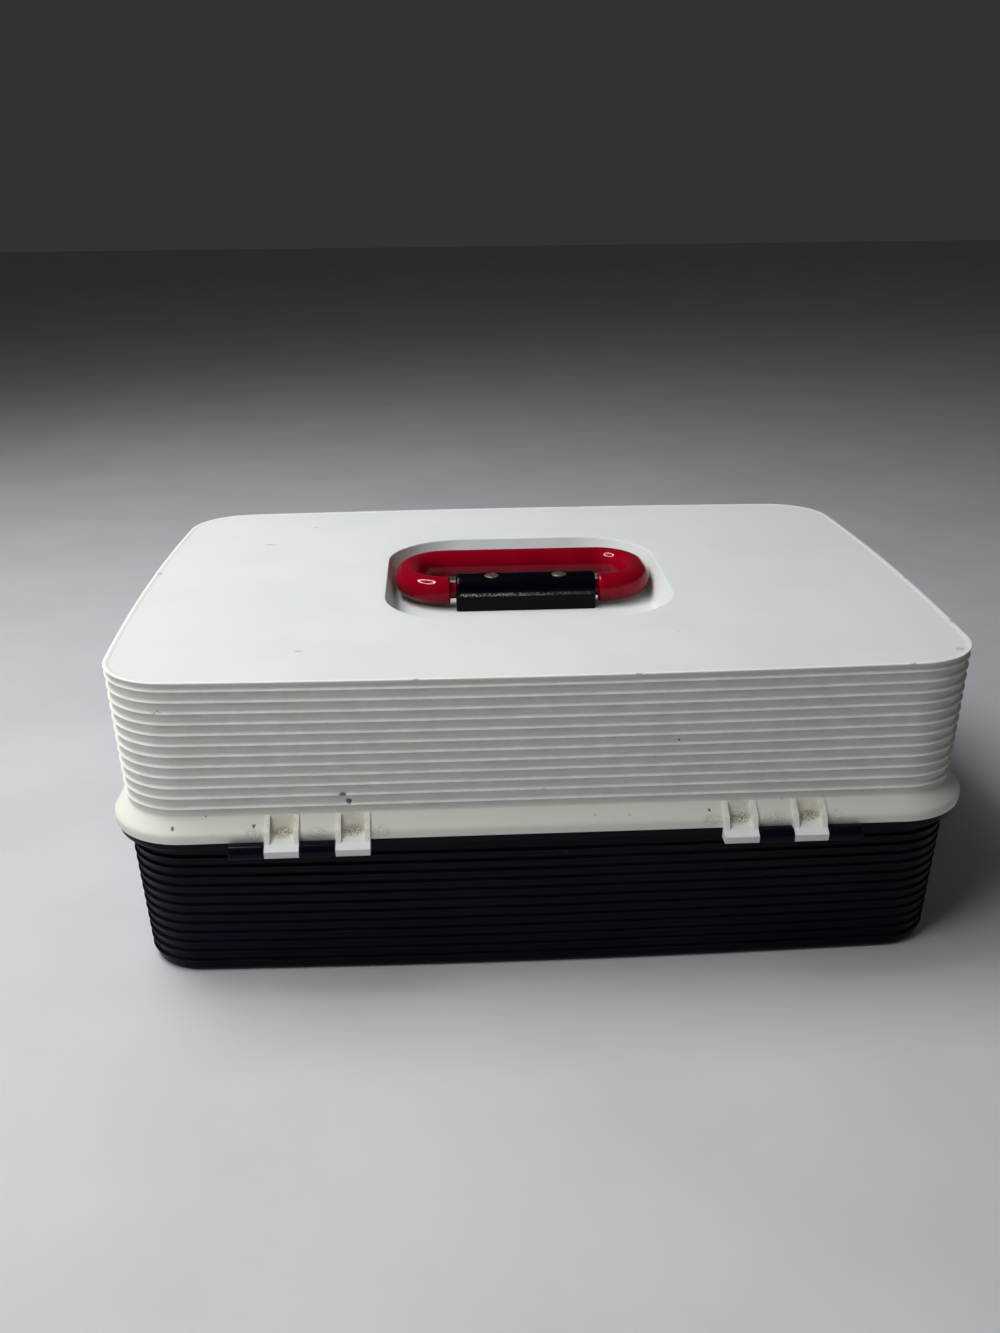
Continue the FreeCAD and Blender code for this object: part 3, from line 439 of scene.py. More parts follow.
def noise(tree, place, per_metre, detail, output=0, roughness=0.5):
    """Clouds between 0 and 1, so many to the metre, with finer ones laid over them."""
    return add_node(tree, "ShaderNodeTexNoise", {"Vector": place, "Scale": per_metre, "Detail": detail,
                                                 "Roughness": roughness}).outputs[output]


# %% Masks and colours
def ramp(tree, source, low, high):
    """0 below low, 1 above high and a smooth rise between; low may be above high, which turns it over."""
    node = add_node(tree, "ShaderNodeMapRange", {"Value": source, "From Min": low, "From Max": high},
                    interpolation_type="SMOOTHSTEP")
    return node.outputs["Result"]


def ramp_mm(tree, source, low, high):
    """The same over a length, whose ends are in millimetres."""
    return ramp(tree, source, low * MM, high * MM)


def mixed(tree, share, first, second):
    """A colour between two, by a share."""
    node = add_node(tree, "ShaderNodeMix", {"Factor": share}, data_type="RGBA")
    for place, source in ((6, first), (7, second)):
        feed(tree, source, node.inputs[place])
    return node.outputs[2]


def layered(tree, colour, layers):
    """Colours laid over one another. A layer is a mask, how strongly it covers, and its screen colour."""
    for mask, strength, screen in layers:
        colour = mixed(tree, times(tree, mask, strength), colour, shade(*screen))
    return colour


# %% Node groups
def new_group(name, inputs, outputs):
    """An empty node group with float or vector inputs, given with their values, and float outputs."""
    group = bpy.data.node_groups.new(name, "ShaderNodeTree")
    for socket, start in inputs.items():
        kind = "NodeSocketVector" if isinstance(start, tuple) else "NodeSocketFloat"
        made = group.interface.new_socket(socket, in_out="INPUT", socket_type=kind)
        made.default_value = start
    for socket in outputs:
        group.interface.new_socket(socket, in_out="OUTPUT", socket_type="NodeSocketFloat")
    return group, group.nodes.new("NodeGroupInput").outputs, group.nodes.new("NodeGroupOutput").inputs


# %% [markdown]
# Grain is two noises added: fine grains, and waves as from uneven cooling. Specks are cells of which a share is
# kept, with their places shaken so that they aren't round. Scratches are the edges between bent cells, broken
# into pieces. A mark is a ragged oval round one spot.

# %% Grain
NOWHERE = (0.0, 0.0, 0.0)
WAVE_SHARE = 3.0

grain_group, given, made = new_group(
    "mould grain", {"Place": NOWHERE, "Grains per metre": 1800.0, "Waves per metre": 28.0}, ["Height"])
grains = noise(grain_group, given["Place"], given["Grains per metre"], 2.0, roughness=0.6)
waves = noise(grain_group, given["Place"], given["Waves per metre"], 1.0)
feed(grain_group, plus(grain_group, grains, times(grain_group, waves, WAVE_SHARE)), made["Height"])

# %% Specks
SHAKE, SHAKES_PER_METRE = 0.0016, 900.0

speck_group, given, made = new_group(
    "specks", {"Place": NOWHERE, "Cells per metre": 60.0, "Size": 0.06, "Amount": 0.2}, ["Mask"])
shaken = vector_node(speck_group, "SCALE", noise(speck_group, given["Place"], SHAKES_PER_METRE, 2.0, "Color"), SHAKE)
moved = vector_node(speck_group, "ADD", given["Place"], shaken)
cells = add_node(speck_group, "ShaderNodeTexVoronoi", {"Vector": moved, "Scale": given["Cells per metre"]}).outputs
chosen = add_node(speck_group, "ShaderNodeTexWhiteNoise", {"Vector": cells["Position"]}).outputs["Value"]
kept = math_node(speck_group, "LESS_THAN", chosen, given["Amount"])
inside = ramp(speck_group, cells["Distance"], given["Size"], times(speck_group, given["Size"], 0.5))
feed(speck_group, times(speck_group, kept, inside), made["Mask"])

# %% Scratches
BEND, BENDS_PER_METRE = 0.03, 14.0
GAPS_PER_METRE, GAP_LOW, GAP_HIGH = 45.0, 0.8, 0.95

scratch_group, given, made = new_group(
    "scratches", {"Place": NOWHERE, "Scale": 9.0, "Width": 0.006, "Amount": 0.5}, ["Mask"])
bend = vector_node(scratch_group, "SCALE", noise(scratch_group, given["Place"], BENDS_PER_METRE, 2.0, "Color"), BEND)
bent = vector_node(scratch_group, "ADD", given["Place"], bend)
lines = add_node(scratch_group, "ShaderNodeTexVoronoi", {"Vector": bent, "Scale": given["Scale"]},
                 feature="DISTANCE_TO_EDGE")
on_line = ramp(scratch_group, lines.outputs["Distance"], given["Width"], 0.0)
gap_ends = [math_node(scratch_group, "SUBTRACT", level, given["Amount"]) for level in (GAP_LOW, GAP_HIGH)]
broken = ramp(scratch_group, noise(scratch_group, given["Place"], GAPS_PER_METRE, 1.0), *gap_ends)
feed(scratch_group, times(scratch_group, on_line, broken), made["Mask"])

# %% Marks
RAGS_PER_METRE, RAG_SHARE, MARK_OUTSIDE, MARK_INSIDE = 1500.0, 4.0, 1.1, 0.7

mark_group, given, made = new_group(
    "mark", {"Place": NOWHERE, "Spot": NOWHERE, "Reach": (1.0, 1.0, 1.0), "Raggedness": 0.5}, ["Mask"])
away = vector_node(mark_group, "SUBTRACT", given["Place"], given["Spot"])
distance = vector_node(mark_group, "LENGTH", vector_node(mark_group, "DIVIDE", away, given["Reach"]))
rags = math_node(mark_group, "SUBTRACT", noise(mark_group, given["Place"], RAGS_PER_METRE, 2.0), 0.5)
rags = times(mark_group, rags, times(mark_group, given["Raggedness"], RAG_SHARE))
feed(mark_group, ramp(mark_group, plus(mark_group, distance, rags), MARK_OUTSIDE, MARK_INSIDE), made["Mask"])
print("shared effects:", [group.name for group in bpy.data.node_groups])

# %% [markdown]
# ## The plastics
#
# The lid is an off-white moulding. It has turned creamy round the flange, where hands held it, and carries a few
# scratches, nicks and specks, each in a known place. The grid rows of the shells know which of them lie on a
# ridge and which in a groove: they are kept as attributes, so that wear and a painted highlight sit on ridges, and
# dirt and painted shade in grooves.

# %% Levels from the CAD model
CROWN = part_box("lid_shell")[1].z / MM
SEAM = 67.9
pin_low, pin_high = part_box("hinge_pin_left")
HINGE_Y, HINGE_Z = -(pin_low.y + pin_high.y) / 2 / MM, (pin_low.z + pin_high.z) / 2 / MM
print("crown and hinge pin, mm:", round(CROWN, 2), round(-HINGE_Y, 2), round(HINGE_Z, 2))

# %% [markdown]
# Every plastic and metal below is one Principled BSDF. Its colour and roughness are fed by masks, and its normal by
# the grain. These helpers place the shared effects with a material's own values.

# %% Material helpers
def new_material(name, **values):
    """A material with one Principled BSDF, some of its sockets set. Returns it, its tree and the shader's inputs."""
    material = bpy.data.materials.new(name)
    material.use_nodes = True
    sockets = material.node_tree.nodes["Principled BSDF"].inputs
    for socket, setting in values.items():
        sockets[socket.replace("_", " ")].default_value = setting
    return material, material.node_tree, sockets


def object_place(tree):
    """The point's own coordinates on the piece, in metres."""
    return add_node(tree, "ShaderNodeTexCoord").outputs["Object"]


def kept_on(tree, name):
    """A number that the piece keeps on its points under this name."""
    return add_node(tree, "ShaderNodeAttribute", attribute_name=name).outputs["Fac"]


def specks(tree, place, cells, size, amount):
    """The specks group: cells per metre, a speck's size as a share of its cell, and the share of cells kept."""
    inputs = {"Place": place, "Cells per metre": cells, "Size": size, "Amount": amount}
    return add_node(tree, "ShaderNodeGroup", inputs, node_tree=speck_group).outputs[0]


def scratches(tree, place, scale, width, amount):
    """The scratches group: cells per metre, a line's width as a share of its cell, and how much of it shows."""
    inputs = {"Place": place, "Scale": scale, "Width": width, "Amount": amount}
    return add_node(tree, "ShaderNodeGroup", inputs, node_tree=scratch_group).outputs[0]


def marks(tree, place, spots, raggedness):
    """The greatest of several marks; each spot is a place and a reach in millimetres."""
    total = 0.0
    for spot, reach in spots:
        inputs = {"Place": place, "Spot": tuple(value * MM for value in spot),
                  "Reach": tuple(value * MM for value in reach), "Raggedness": raggedness}
        mask = add_node(tree, "ShaderNodeGroup", inputs, node_tree=mark_group).outputs[0]
        total = math_node(tree, "MAXIMUM", mask, total)
    return total


def grained(tree, sockets, place, grains, waves, depth, strength):
    """Feeds the grain group through a Bump node, of a depth in millimetres, into the shader's normal."""
    inputs = {"Place": place, "Grains per metre": grains, "Waves per metre": waves}
    height = add_node(tree, "ShaderNodeGroup", inputs, node_tree=grain_group).outputs[0]
    bump = add_node(tree, "ShaderNodeBump", {"Strength": strength, "Distance": depth * MM, "Height": height})
    feed(tree, bump.outputs["Normal"], sockets["Normal"])


# %% [markdown]
# The scratches, specks and nicks are listed by where they lie on the lid: on its top, along its rim, on the ribs
# and on the flange. Dirt has also gathered in the four small pockets of the hinge lugs.

# %% Marks on the lid
TOP_MARKS = [((-132.3, 67.2, CROWN), (3.2, 1.1, 2)), ((-129.8, 66.4, CROWN), (1.2, 0.7, 2)),
             ((-110.2, 101.2, CROWN), (1.0, 0.9, 2)), ((-101.1, -100.2, CROWN), (1.6, 0.7, 2)),
             ((60, -88, CROWN), (0.5, 0.4, 2)), ((118, 20, CROWN), (0.5, 0.4, 2))]
RIM_NICKS = [((-180.6, 17, CROWN), (1.0, 1.6, 1.2)), ((182.9, -19.9, CROWN), (1.2, 1.8, 1.2)),
             ((180.5, -83.9, CROWN), (1.0, 2.4, 1.0)), ((146, -133.6, CROWN), (1.1, 0.8, 1.4)),
             ((-121, -135.3, CROWN), (2.4, 0.5, 0.7)), ((-52, -136, CROWN), (1.6, 0.5, 0.6)),
             ((36, -136.2, CROWN), (2.0, 0.5, 0.7)), ((171, -118, CROWN), (1.8, 1.8, 0.6)),
             ((-154.8, -134.4, 124.6), (2.2, 3, 0.8))]
DARK_SPECKS = [((-83.2, -131.5, 85.9), (1.7, 9, 0.95)), ((-81.0, -131.5, 82.7), (1.35, 9, 1.15)),
               ((-87.8, -132, 118.6), (0.6, 9, 0.5)), ((53.3, -132, 106.6), (0.6, 9, 0.5)),
               ((-152.4, -134, 74.2), (0.72, 9, 0.66)), ((-119.7, -136, 74.4), (0.72, 9, 0.66)),
               ((-139.4, -135, 77.6), (0.4, 9, 0.4)), ((67.0, -134.5, 74.8), (0.6, 9, 0.5))]
GRIMY = [((middle, -135.2, 71.4), (5.6, 3.8, 2.8)) for middle in POCKET_MIDDLES]
DUSTY = [((side * (HINGE_CENTRE + place), -137.0, 71.5), (reach, 4.0, 3.2))
         for side in (-1, 1) for place, reach in ((-7.2, 6.0), (18.5, 4.5), (-33.0, 5.0))]
STAINED = [((middle, -133.2, 74.0), (6.5, 4.5, 5.5)) for middle in POCKET_MIDDLES]
print("marks listed:", sum(map(len, (TOP_MARKS, RIM_NICKS, DARK_SPECKS, GRIMY, DUSTY, STAINED))))

# %% [markdown]
# The colour of the lid is laid on in layers: the plastic, its walls painted darker than the top as shade, its
# yellowing, and its ridges, lugs and lug brows painted lighter as highlights first; then dirt and painted shade in
# the grooves, stains, dust, and the single marks last. Each layer has a mask and a strength.

# %% Lid plastic
LID_WHITE, LID_WHITE_SHADED = (224, 228, 226), (220, 225, 223)
LID_SIDE_PAINTED_SHADE, LID_CREAM = (213, 216, 210), (228, 229, 219)
LUG_PAINTED_LIGHT, BROW_PAINTED_HIGHLIGHT, RIDGE_PAINTED_HIGHLIGHT = (238, 238, 228), (241, 243, 244), (246, 247, 240)
RECESS_CLEAR_X, RECESS_CLEAR_Y = 110.0, 100.0


def lid_plastic():
    """Off-white, creamy below the ribs, walls painted darker as shade, ridges, lugs and brows painted lighter as
    highlights, dirt and painted shade in grooves, dirt in pockets, and marks where they are listed.
    """
    material, tree, sockets = new_material("lid_plastic", IOR=1.47)
    place = object_place(tree)
    x, y, height = add_node(tree, "ShaderNodeSeparateXYZ", {0: place}).outputs
    groove, ridge, lug = (kept_on(tree, name) for name in ("groove", "ridge", "lug"))
    patches, smear = noise(tree, place, 16.0, 3.0), noise(tree, place, 120.0, 4.0)
    crumbs = noise(tree, place, 1500.0, 4.0)

    clear_x = times(tree, math_node(tree, "ABSOLUTE", x), 1 / (RECESS_CLEAR_X * MM))
    clear_y = times(tree, math_node(tree, "ABSOLUTE", y), 1 / (RECESS_CLEAR_Y * MM))
    outside = ramp(tree, math_node(tree, "MAXIMUM", clear_x, clear_y), 0.9, 1.0)
    # side marks the walls below the top, which are painted a darker copy of the white, as shade.
    side = times(tree, ramp_mm(tree, height, CROWN - 0.3, CROWN - 2.0), outside)
    low = ramp_mm(tree, height, SEAM + 11, SEAM + 9)
    flange = times(tree, low, ramp_mm(tree, y, -139.5, -138))
    # The upper lugs and their front brows are painted paler than the flange, as highlights where they face the light.
    lug = times(tree, lug, ramp_mm(tree, height, HINGE_Z + 0.9, HINGE_Z + 1.5))
    brow = times(tree, lug, ramp_mm(tree, y, -139.0, -139.6))

    # The groove mask is dirt and painted shade at the root under each lip.
    groove_grime_and_shade = times(tree, groove, ramp(tree, smear, 0.3, 0.7))
    stain = times(tree, marks(tree, place, STAINED, 0.25), ramp(tree, smear, 0.3, 0.6))
    dusty = times(tree, marks(tree, place, DUSTY, 0.4), 0.35)
    grimy = math_node(tree, "MAXIMUM", marks(tree, place, GRIMY, 0.5), dusty)
    grimy = times(tree, grimy, ramp(tree, crumbs, 0.4, 0.6))
    dust = times(tree, specks(tree, place, 320.0, 0.16, 0.10), low, ramp(tree, patches, 0.45, 0.6))
    strays = specks(tree, place, 34.0, 0.012, 0.3)
    chips = times(tree, specks(tree, place, 90.0, 0.09, 0.16), ramp(tree, ridge, 0.9, 1.0))
    worn = math_node(tree, "MAXIMUM", marks(tree, place, RIM_NICKS, 0.9), chips)

    clean = mixed(tree, ramp(tree, patches, 0.35, 0.7), shade(*LID_WHITE), shade(*LID_WHITE_SHADED))
    # The side, ridge, lug and brow layers are painted shade and painted highlights; the groove layer is dirt and
    # painted shade; the rest are dirt, dust and marks.
    colour = layered(tree, clean, [
        (side, 1, LID_SIDE_PAINTED_SHADE), (flange, 1, LID_CREAM), (ridge, 1, RIDGE_PAINTED_HIGHLIGHT), (lug, 1, LUG_PAINTED_LIGHT),
        (brow, 1, BROW_PAINTED_HIGHLIGHT), (groove_grime_and_shade, 0.3, (150, 146, 132)), (stain, 0.42, (176, 166, 136)),
        (grimy, 0.8, (122, 106, 72)), (dust, 0.55, (132, 120, 96)), (strays, 0.7, (110, 104, 92)),
        (worn, 0.5, (128, 122, 110)), (marks(tree, place, TOP_MARKS, 0.8), 0.55, (146, 141, 134)),
        (marks(tree, place, DARK_SPECKS, 0.35), 0.85, (52, 44, 38))])
    feed(tree, colour, sockets["Base Color"])
    rubbed = scratches(tree, place, 8.0, 0.004, 0.42)
    feed(tree, plus(tree, times(tree, smear, 0.1), times(tree, rubbed, 0.15), 0.86), sockets["Roughness"])
    grained(tree, sockets, place, 1500.0, 22.0, 0.06, 0.7)
    return material


lid_material = lid_plastic()
print("lid plastic:", len(lid_material.node_tree.nodes), "nodes")

# %% [markdown]
# The base is a near-black moulding with a cold tinge. Its ridges are a little paler from rubbing. The racks
# inside are of the same family but plainer, with a duller skin.

# %% Dark plastics
def dark_plastic(name, body, rubbed, roughness, shine):
    """A dark moulding: its colour, paler where the ridge attribute says it is rubbed, with fine grain and dust."""
    material, tree, sockets = new_material(name, IOR=1.47, Specular_IOR_Level=shine)
    place = object_place(tree)
    cloud = noise(tree, place, 40.0, 4.0)
    wear = times(tree, ramp(tree, kept_on(tree, "ridge"), 0.6, 1.0), ramp(tree, cloud, 0.35, 0.7))
    dust = specks(tree, place, 260.0, 0.1, 0.06)
    feed(tree, layered(tree, shade(*body), [(wear, 1, rubbed), (dust, 0.35, (92, 92, 96))]), sockets["Base Color"])
    haze = times(tree, math_node(tree, "SUBTRACT", cloud, 0.5), 0.12)
    feed(tree, plus(tree, haze, roughness), sockets["Roughness"])
    grained(tree, sockets, place, 1500.0, 26.0, 0.06, 0.7)
    return material


base_material = dark_plastic("base_plastic", (9, 11, 23), (20, 24, 42), 0.22, 0.1)
rack_material = dark_plastic("rack_plastic", (30, 30, 33), (44, 44, 46), 0.5, 0.4)
print("dark plastics:", base_material.name, rack_material.name)

# %% [markdown]
# The handle is moulded in a glossy crimson, and the latches are of the same plastic. The saddle is gloss black,
# with a scuffed, speckled line along its front shoulder where it has been knocked.

# %% Crimson plastic
PIVOT_Y = -1.5
SADDLE_RADIUS = 8.2
PIVOT_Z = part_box("handle_saddle")[1].z / MM - SADDLE_RADIUS
CRIMSON, CRIMSON_DEEP, CRIMSON_PAINTED_SHADE = (146, 2, 30), (128, 1, 24), (84, 0, 14)
print("handle's axis, mm:", PIVOT_Y, round(PIVOT_Z, 2))


def crimson_plastic():
    """Crimson with slow changes of depth, painted darker underneath as shade, a clear skin, light hairlines and a
    little dust.
    """
    material, tree, sockets = new_material("handle_plastic", IOR=1.5, Specular_IOR_Level=0.16)
    place = object_place(tree)
    height = add_node(tree, "ShaderNodeSeparateXYZ", {0: place}).outputs["Z"]
    cloud = noise(tree, place, 34.0, 3.0)
    # The lower half of the bar is painted darker, as shade.
    under = ramp_mm(tree, height, PIVOT_Z + 1, PIVOT_Z - 6)
    colour = layered(tree, shade(*CRIMSON), [
        (ramp(tree, cloud, 0.3, 0.72), 1, CRIMSON_DEEP), (under, 0.6, CRIMSON_PAINTED_SHADE),
        (specks(tree, place, 300.0, 0.09, 0.05), 0.3, (190, 120, 120))])
    feed(tree, colour, sockets["Base Color"])
    hairlines = scratches(tree, place, 40.0, 0.01, 0.4)
    feed(tree, plus(tree, times(tree, cloud, 0.02), times(tree, hairlines, 0.1), 0.015), sockets["Roughness"])
    grained(tree, sockets, place, 700.0, 60.0, 0.01, 0.08)
    return material


handle_material = crimson_plastic()

# %% [markdown]
# The scuffed line is a thin band at one height, kept to the front and away from the saddle's ends. It fades to the
# right and is broken up by fine noise.

# %% Saddle plastic
SCUFF_DROP = 0.2


def saddle_plastic():
    """Gloss black; a ragged pale line follows the front shoulder, fading to the right, and fine specks lie below."""
    material, tree, sockets = new_material("saddle_plastic", IOR=1.5, Specular_IOR_Level=0.1)
    place = object_place(tree)
    x, y, height = add_node(tree, "ShaderNodeSeparateXYZ", {0: place}).outputs
    off_line = math_node(tree, "ABSOLUTE", math_node(tree, "SUBTRACT", height, (PIVOT_Z - SCUFF_DROP) * MM))
    front = ramp_mm(tree, y, PIVOT_Y - 7.4, PIVOT_Y - 8.0)
    inset = ramp_mm(tree, math_node(tree, "ABSOLUTE", x), 33, 31)
    fading = plus(tree, times(tree, ramp_mm(tree, x, 24, -12), 0.7), 0.3)
    crumbs = ramp(tree, noise(tree, place, 1300.0, 3.0), 0.42, 0.6)
    scuff = times(tree, ramp_mm(tree, off_line, 1.0, 0.35), front, inset, fading, crumbs)
    dust = times(tree, specks(tree, place, 420.0, 0.14, 0.1), front)
    colour = layered(tree, shade(2, 3, 10), [(scuff, 1, (150, 150, 150)), (dust, 0.4, (80, 78, 74))])
    feed(tree, colour, sockets["Base Color"])
    feed(tree, plus(tree, times(tree, scuff, 0.4), 0.24), sockets["Roughness"])
    grained(tree, sockets, place, 900.0, 60.0, 0.04, 0.5)
    return material


saddle_material = saddle_plastic()
print("glossy plastics:", handle_material.name, saddle_material.name)

# %% [markdown]
# The screws are dull zinc and the pins bright wire. Both are metals: their colour is the colour of their shine,
# broken by fine turning marks and a little tarnish.

# %% Metals
def worn_metal(name, bright, tarnished, roughness):
    """A metal whose shine is broken by clouds of tarnish and fine grain."""
    material, tree, sockets = new_material(name, Metallic=0.85)
    place = object_place(tree)
    cloud = noise(tree, place, 600.0, 4.0)
    colour = mixed(tree, ramp(tree, cloud, 0.35, 0.68), shade(*bright), shade(*tarnished))
    feed(tree, colour, sockets["Base Color"])
    feed(tree, plus(tree, times(tree, cloud, 0.25), roughness), sockets["Roughness"])
    grained(tree, sockets, place, 4000.0, 300.0, 0.03, 0.6)
    return material


screw_material = worn_metal("screw_steel", (128, 125, 112), (88, 85, 72), 0.35)
pin_material = worn_metal("pin_steel", (190, 190, 188), (140, 138, 132), 0.22)
print("metals:", screw_material.name, pin_material.name)

# %% [markdown]
# ## The ribbed wall
#
# Each course of the wall hangs under the one above like a clapboard. Read downwards it is: a thin rounded lip, a
# short step in under it, a plain upright stretch, a round cove that runs out, and a sloping ledge to the next lip.
# The wall as a whole leans in towards its foot.

# %% Courses
RIB_PITCH, RIB_COUNT = 4.73, 12
RIB_STEP = 1.25
TAPER_SHARE = 0.064
LIP_HEIGHT, LIP_RADIUS, ROOT_RADIUS = 0.4, 0.16, 0.2
COVE_RADIUS, COVE_STEPS, LEDGE_DROP = 1.0, 6, 0.2
COVE_TURNS = np.radians(np.linspace(0, 68, COVE_STEPS))
COURSE_CORNERS = COVE_STEPS + 3


def courses(first_level, first_reach):
    """
    Corners (reach, level, radius) of the courses from the first lip down. Lip i is at first_level - i * pitch, and
    its reach leans in by the taper share of that drop. The wall under it stands one step further in. The cove
    above the lip is an arc: R * (1 - cos a) outward and R * sin a down, a from 0 to 68 degrees; a sloping
    ledge leads from it to the lip.
    """
    corners = []
    run, drop = COVE_RADIUS * (1 - np.cos(COVE_TURNS)), COVE_RADIUS * np.sin(COVE_TURNS)
    for course in range(RIB_COUNT):
        level = first_level - course * RIB_PITCH
        reach = first_reach - TAPER_SHARE * course * RIB_PITCH
        cove_top = level + LIP_HEIGHT + LEDGE_DROP + drop[-1]
        corners += [(reach - RIB_STEP + out, cove_top - down, 0) for out, down in zip(run, drop)]
        corners += [(reach, level + LIP_HEIGHT, LIP_RADIUS), (reach, level, LIP_RADIUS),
                    (reach - RIB_STEP, level, ROOT_RADIUS)]
    return corners


# %% [markdown]
# The shells keep two numbers on their points, for the materials: how near a point is to the edge of a lip, where
# it gets rubbed and the lid's lip is painted lighter as a highlight, and how near to the root under it, where dirt
# stays and the lid is painted darker as shade.

# %% Ridges and grooves
LIP_ROOT_REACH = 1.5


def lips_and_roots(corners):
    """The upper corner of each lip and the root under it, out of the corners of some courses."""
    tips, roots = corners[COVE_STEPS::COURSE_CORNERS], corners[COVE_STEPS + 2::COURSE_CORNERS]
    return [corner[:2] for corner in tips], [corner[:2] for corner in roots]


def ridge_and_groove_attributes(piece, rows, profile, first_row, tips, roots):
    """
    Keeps ridge and groove as point attributes: 1 where a row's profile point is within half a millimetre of a tip
    or root, falling to 0 at LIP_ROOT_REACH. The rows before and after the profile, and the two poles, have 0.
    """
    for name, spots in (("ridge", tips), ("groove", roots)):
        gaps = np.linalg.norm(profile[:, None] - np.array(spots)[None], axis=2).min(axis=1)
        values = np.zeros((1 + len(rows) + 1, rows.shape[1]), np.float32)
        values[1 + first_row:1 + first_row + len(profile)] = np.clip(LIP_ROOT_REACH - gaps, 0, 1)[:, None]
        piece.data.attributes.new(name, "FLOAT", "POINT").data.foreach_set("value", values.ravel())


# %% [markdown]
# ## The lid
#
# The lid is one closed surface. Its rows start at the middle of the recess floor, climb the recess wall, cross
# the top, which is a hair lower than its rim, and run down the courses and round the flange. Inside they go back
# up, across the underside of the top, round the tray of the recess and to the middle of its underside.

# %% Lid profiles
RECESS_HALF_WIDTH, RECESS_HALF_LENGTH, RECESS_CORNER, RECESS_DEPTH = 67.5, 67.4, 37.5, 15.0
RECESS_MIDDLE = 1.9
DRAFT = math.tan(math.radians(14))
TOP_THICKNESS, TRAY_THICKNESS, SHELL_WALL = 3.0, 3.0, 2.2
DISH, TOP_LIP = 0.25, 0.65
FIRST_LID_RIB, NECK_RISE = 4.05, 9.6

floor_level = CROWN - RECESS_DEPTH
floor_reach = -RECESS_DEPTH * DRAFT
field, ceiling = CROWN - DISH, CROWN - TOP_THICKNESS
tray_bottom = floor_level - TRAY_THICKNESS
neck = -TAPER_SHARE * (FIRST_LID_RIB + (RIB_COUNT - 1) * RIB_PITCH) - RIB_STEP

recess_profile = rounded([(floor_reach - 7, floor_level, 0), (floor_reach, floor_level, 3.0),
                          (0, field, 0.6), (6, field, 0)], 6)
top_corners = [(-8, field, 0), (-2.6, field, 1.5), (-1.6, CROWN, 0.9), (0, CROWN, 0.45),
               (0, CROWN - TOP_LIP, 0.28), (-RIB_STEP, CROWN - TOP_LIP, ROOT_RADIUS)]
lid_courses = courses(CROWN - FIRST_LID_RIB, -TAPER_SHARE * FIRST_LID_RIB)
flange_corners = [(neck, SEAM + NECK_RISE, 1.4), (1.8, SEAM + 4.2, 2.6), (1.35, SEAM, 0.4), (-1.4, SEAM, 0.3),
                  (-1.4, SEAM + 3.2, 1.0), (neck - SHELL_WALL, SEAM + 7.9, 1.0)]
inner_corners = [(-RIB_STEP - SHELL_WALL, ceiling, 1.5), (-12, ceiling, 0)]
outer_profile = rounded(top_corners + lid_courses + flange_corners + inner_corners)
tray_profile = rounded([(TRAY_THICKNESS + 5, ceiling, 0), (TRAY_THICKNESS - TOP_THICKNESS * DRAFT, ceiling, 1.5),
                        (TRAY_THICKNESS - (RECESS_DEPTH + TRAY_THICKNESS) * DRAFT, tray_bottom, 2.5),
                        (floor_reach - 6, tray_bottom, 0)])
print("lid profile points:", len(recess_profile), len(outer_profile), len(tray_profile))

# %% [markdown]
# The profiles are carried round the plan, and the rows joined into one surface. The flange is then pressed back
# where the pockets between the hinge cheeks are.

# %% Lid shell
CROWN_BOW, SPREAD = 3.0, 1.9
SETTLED_DROP = FIRST_LID_RIB + (RIB_COUNT - 0.7) * RIB_PITCH
POCKET_TOP, POCKET_FOOT = (-130.9, SEAM + NECK_RISE), (-134.9, SEAM + 2.9)


def lid_settling(levels):
    """
    Straightness and spread at each level: with t from 0 at the crown to 1 at SETTLED_DROP, under the last lip, the
    bow is CROWN_BOW * (1 - t^1.5), so the flange is straight, and the outline spreads by SPREAD * t.
    """
    t = np.clip((CROWN - levels) / SETTLED_DROP, 0, 1)
    return 1 - CROWN_BOW * (1 - t ** 1.5) / SIDE_BOW, SPREAD * t


def with_pockets(rows):
    """Presses the flange back between the lugs' cheeks, to a steep wall from POCKET_TOP down to POCKET_FOOT."""
    inside = np.abs(rows[..., :1] - POCKET_MIDDLES).min(axis=-1) < POCKET_HALF + POCKET_SLOPE / 2
    wall = np.interp(rows[..., 2], [POCKET_FOOT[1], POCKET_TOP[1]], [POCKET_FOOT[0], POCKET_TOP[0]])
    inside &= (rows[..., 1] < wall) & (rows[..., 2] < POCKET_TOP[1])
    rows[..., 1] = np.where(inside, wall, rows[..., 1])
    return rows


recess_plan = straight_plan(RECESS_HALF_WIDTH, RECESS_HALF_LENGTH, RECESS_CORNER, RECESS_MIDDLE)
recess_rows, tray_rows = carried(recess_plan, recess_profile), carried(recess_plan, tray_profile)
outer_rows = with_pockets(carried_with_bow(outer_profile, *lid_settling(outer_profile[:, 1])))
upper_rows = [shrunk(recess_rows[0], RECESS_MIDDLE, [0.3, 0.65]), recess_rows,
              between(recess_rows[-1], outer_rows[0], [0.2, 0.4, 0.6, 0.8])]
lower_rows = [between(outer_rows[-1], tray_rows[0], [0.33, 0.67]), tray_rows,
              shrunk(tray_rows[-1], RECESS_MIDDLE, [0.65, 0.3])]
lid_rows = np.concatenate(upper_rows + [outer_rows] + lower_rows)
lid_shell = mesh_from("lid_skin", *closed_rows(lid_rows))
lips, roots = lips_and_roots(lid_courses)
lips += [corner[:2] for corner in top_corners[3:5]]
ridge_and_groove_attributes(lid_shell, lid_rows, outer_profile, sum(map(len, upper_rows)), lips, roots)
dress(lid_shell, "lid", "lid_plastic", lid_material, "lid_shell")

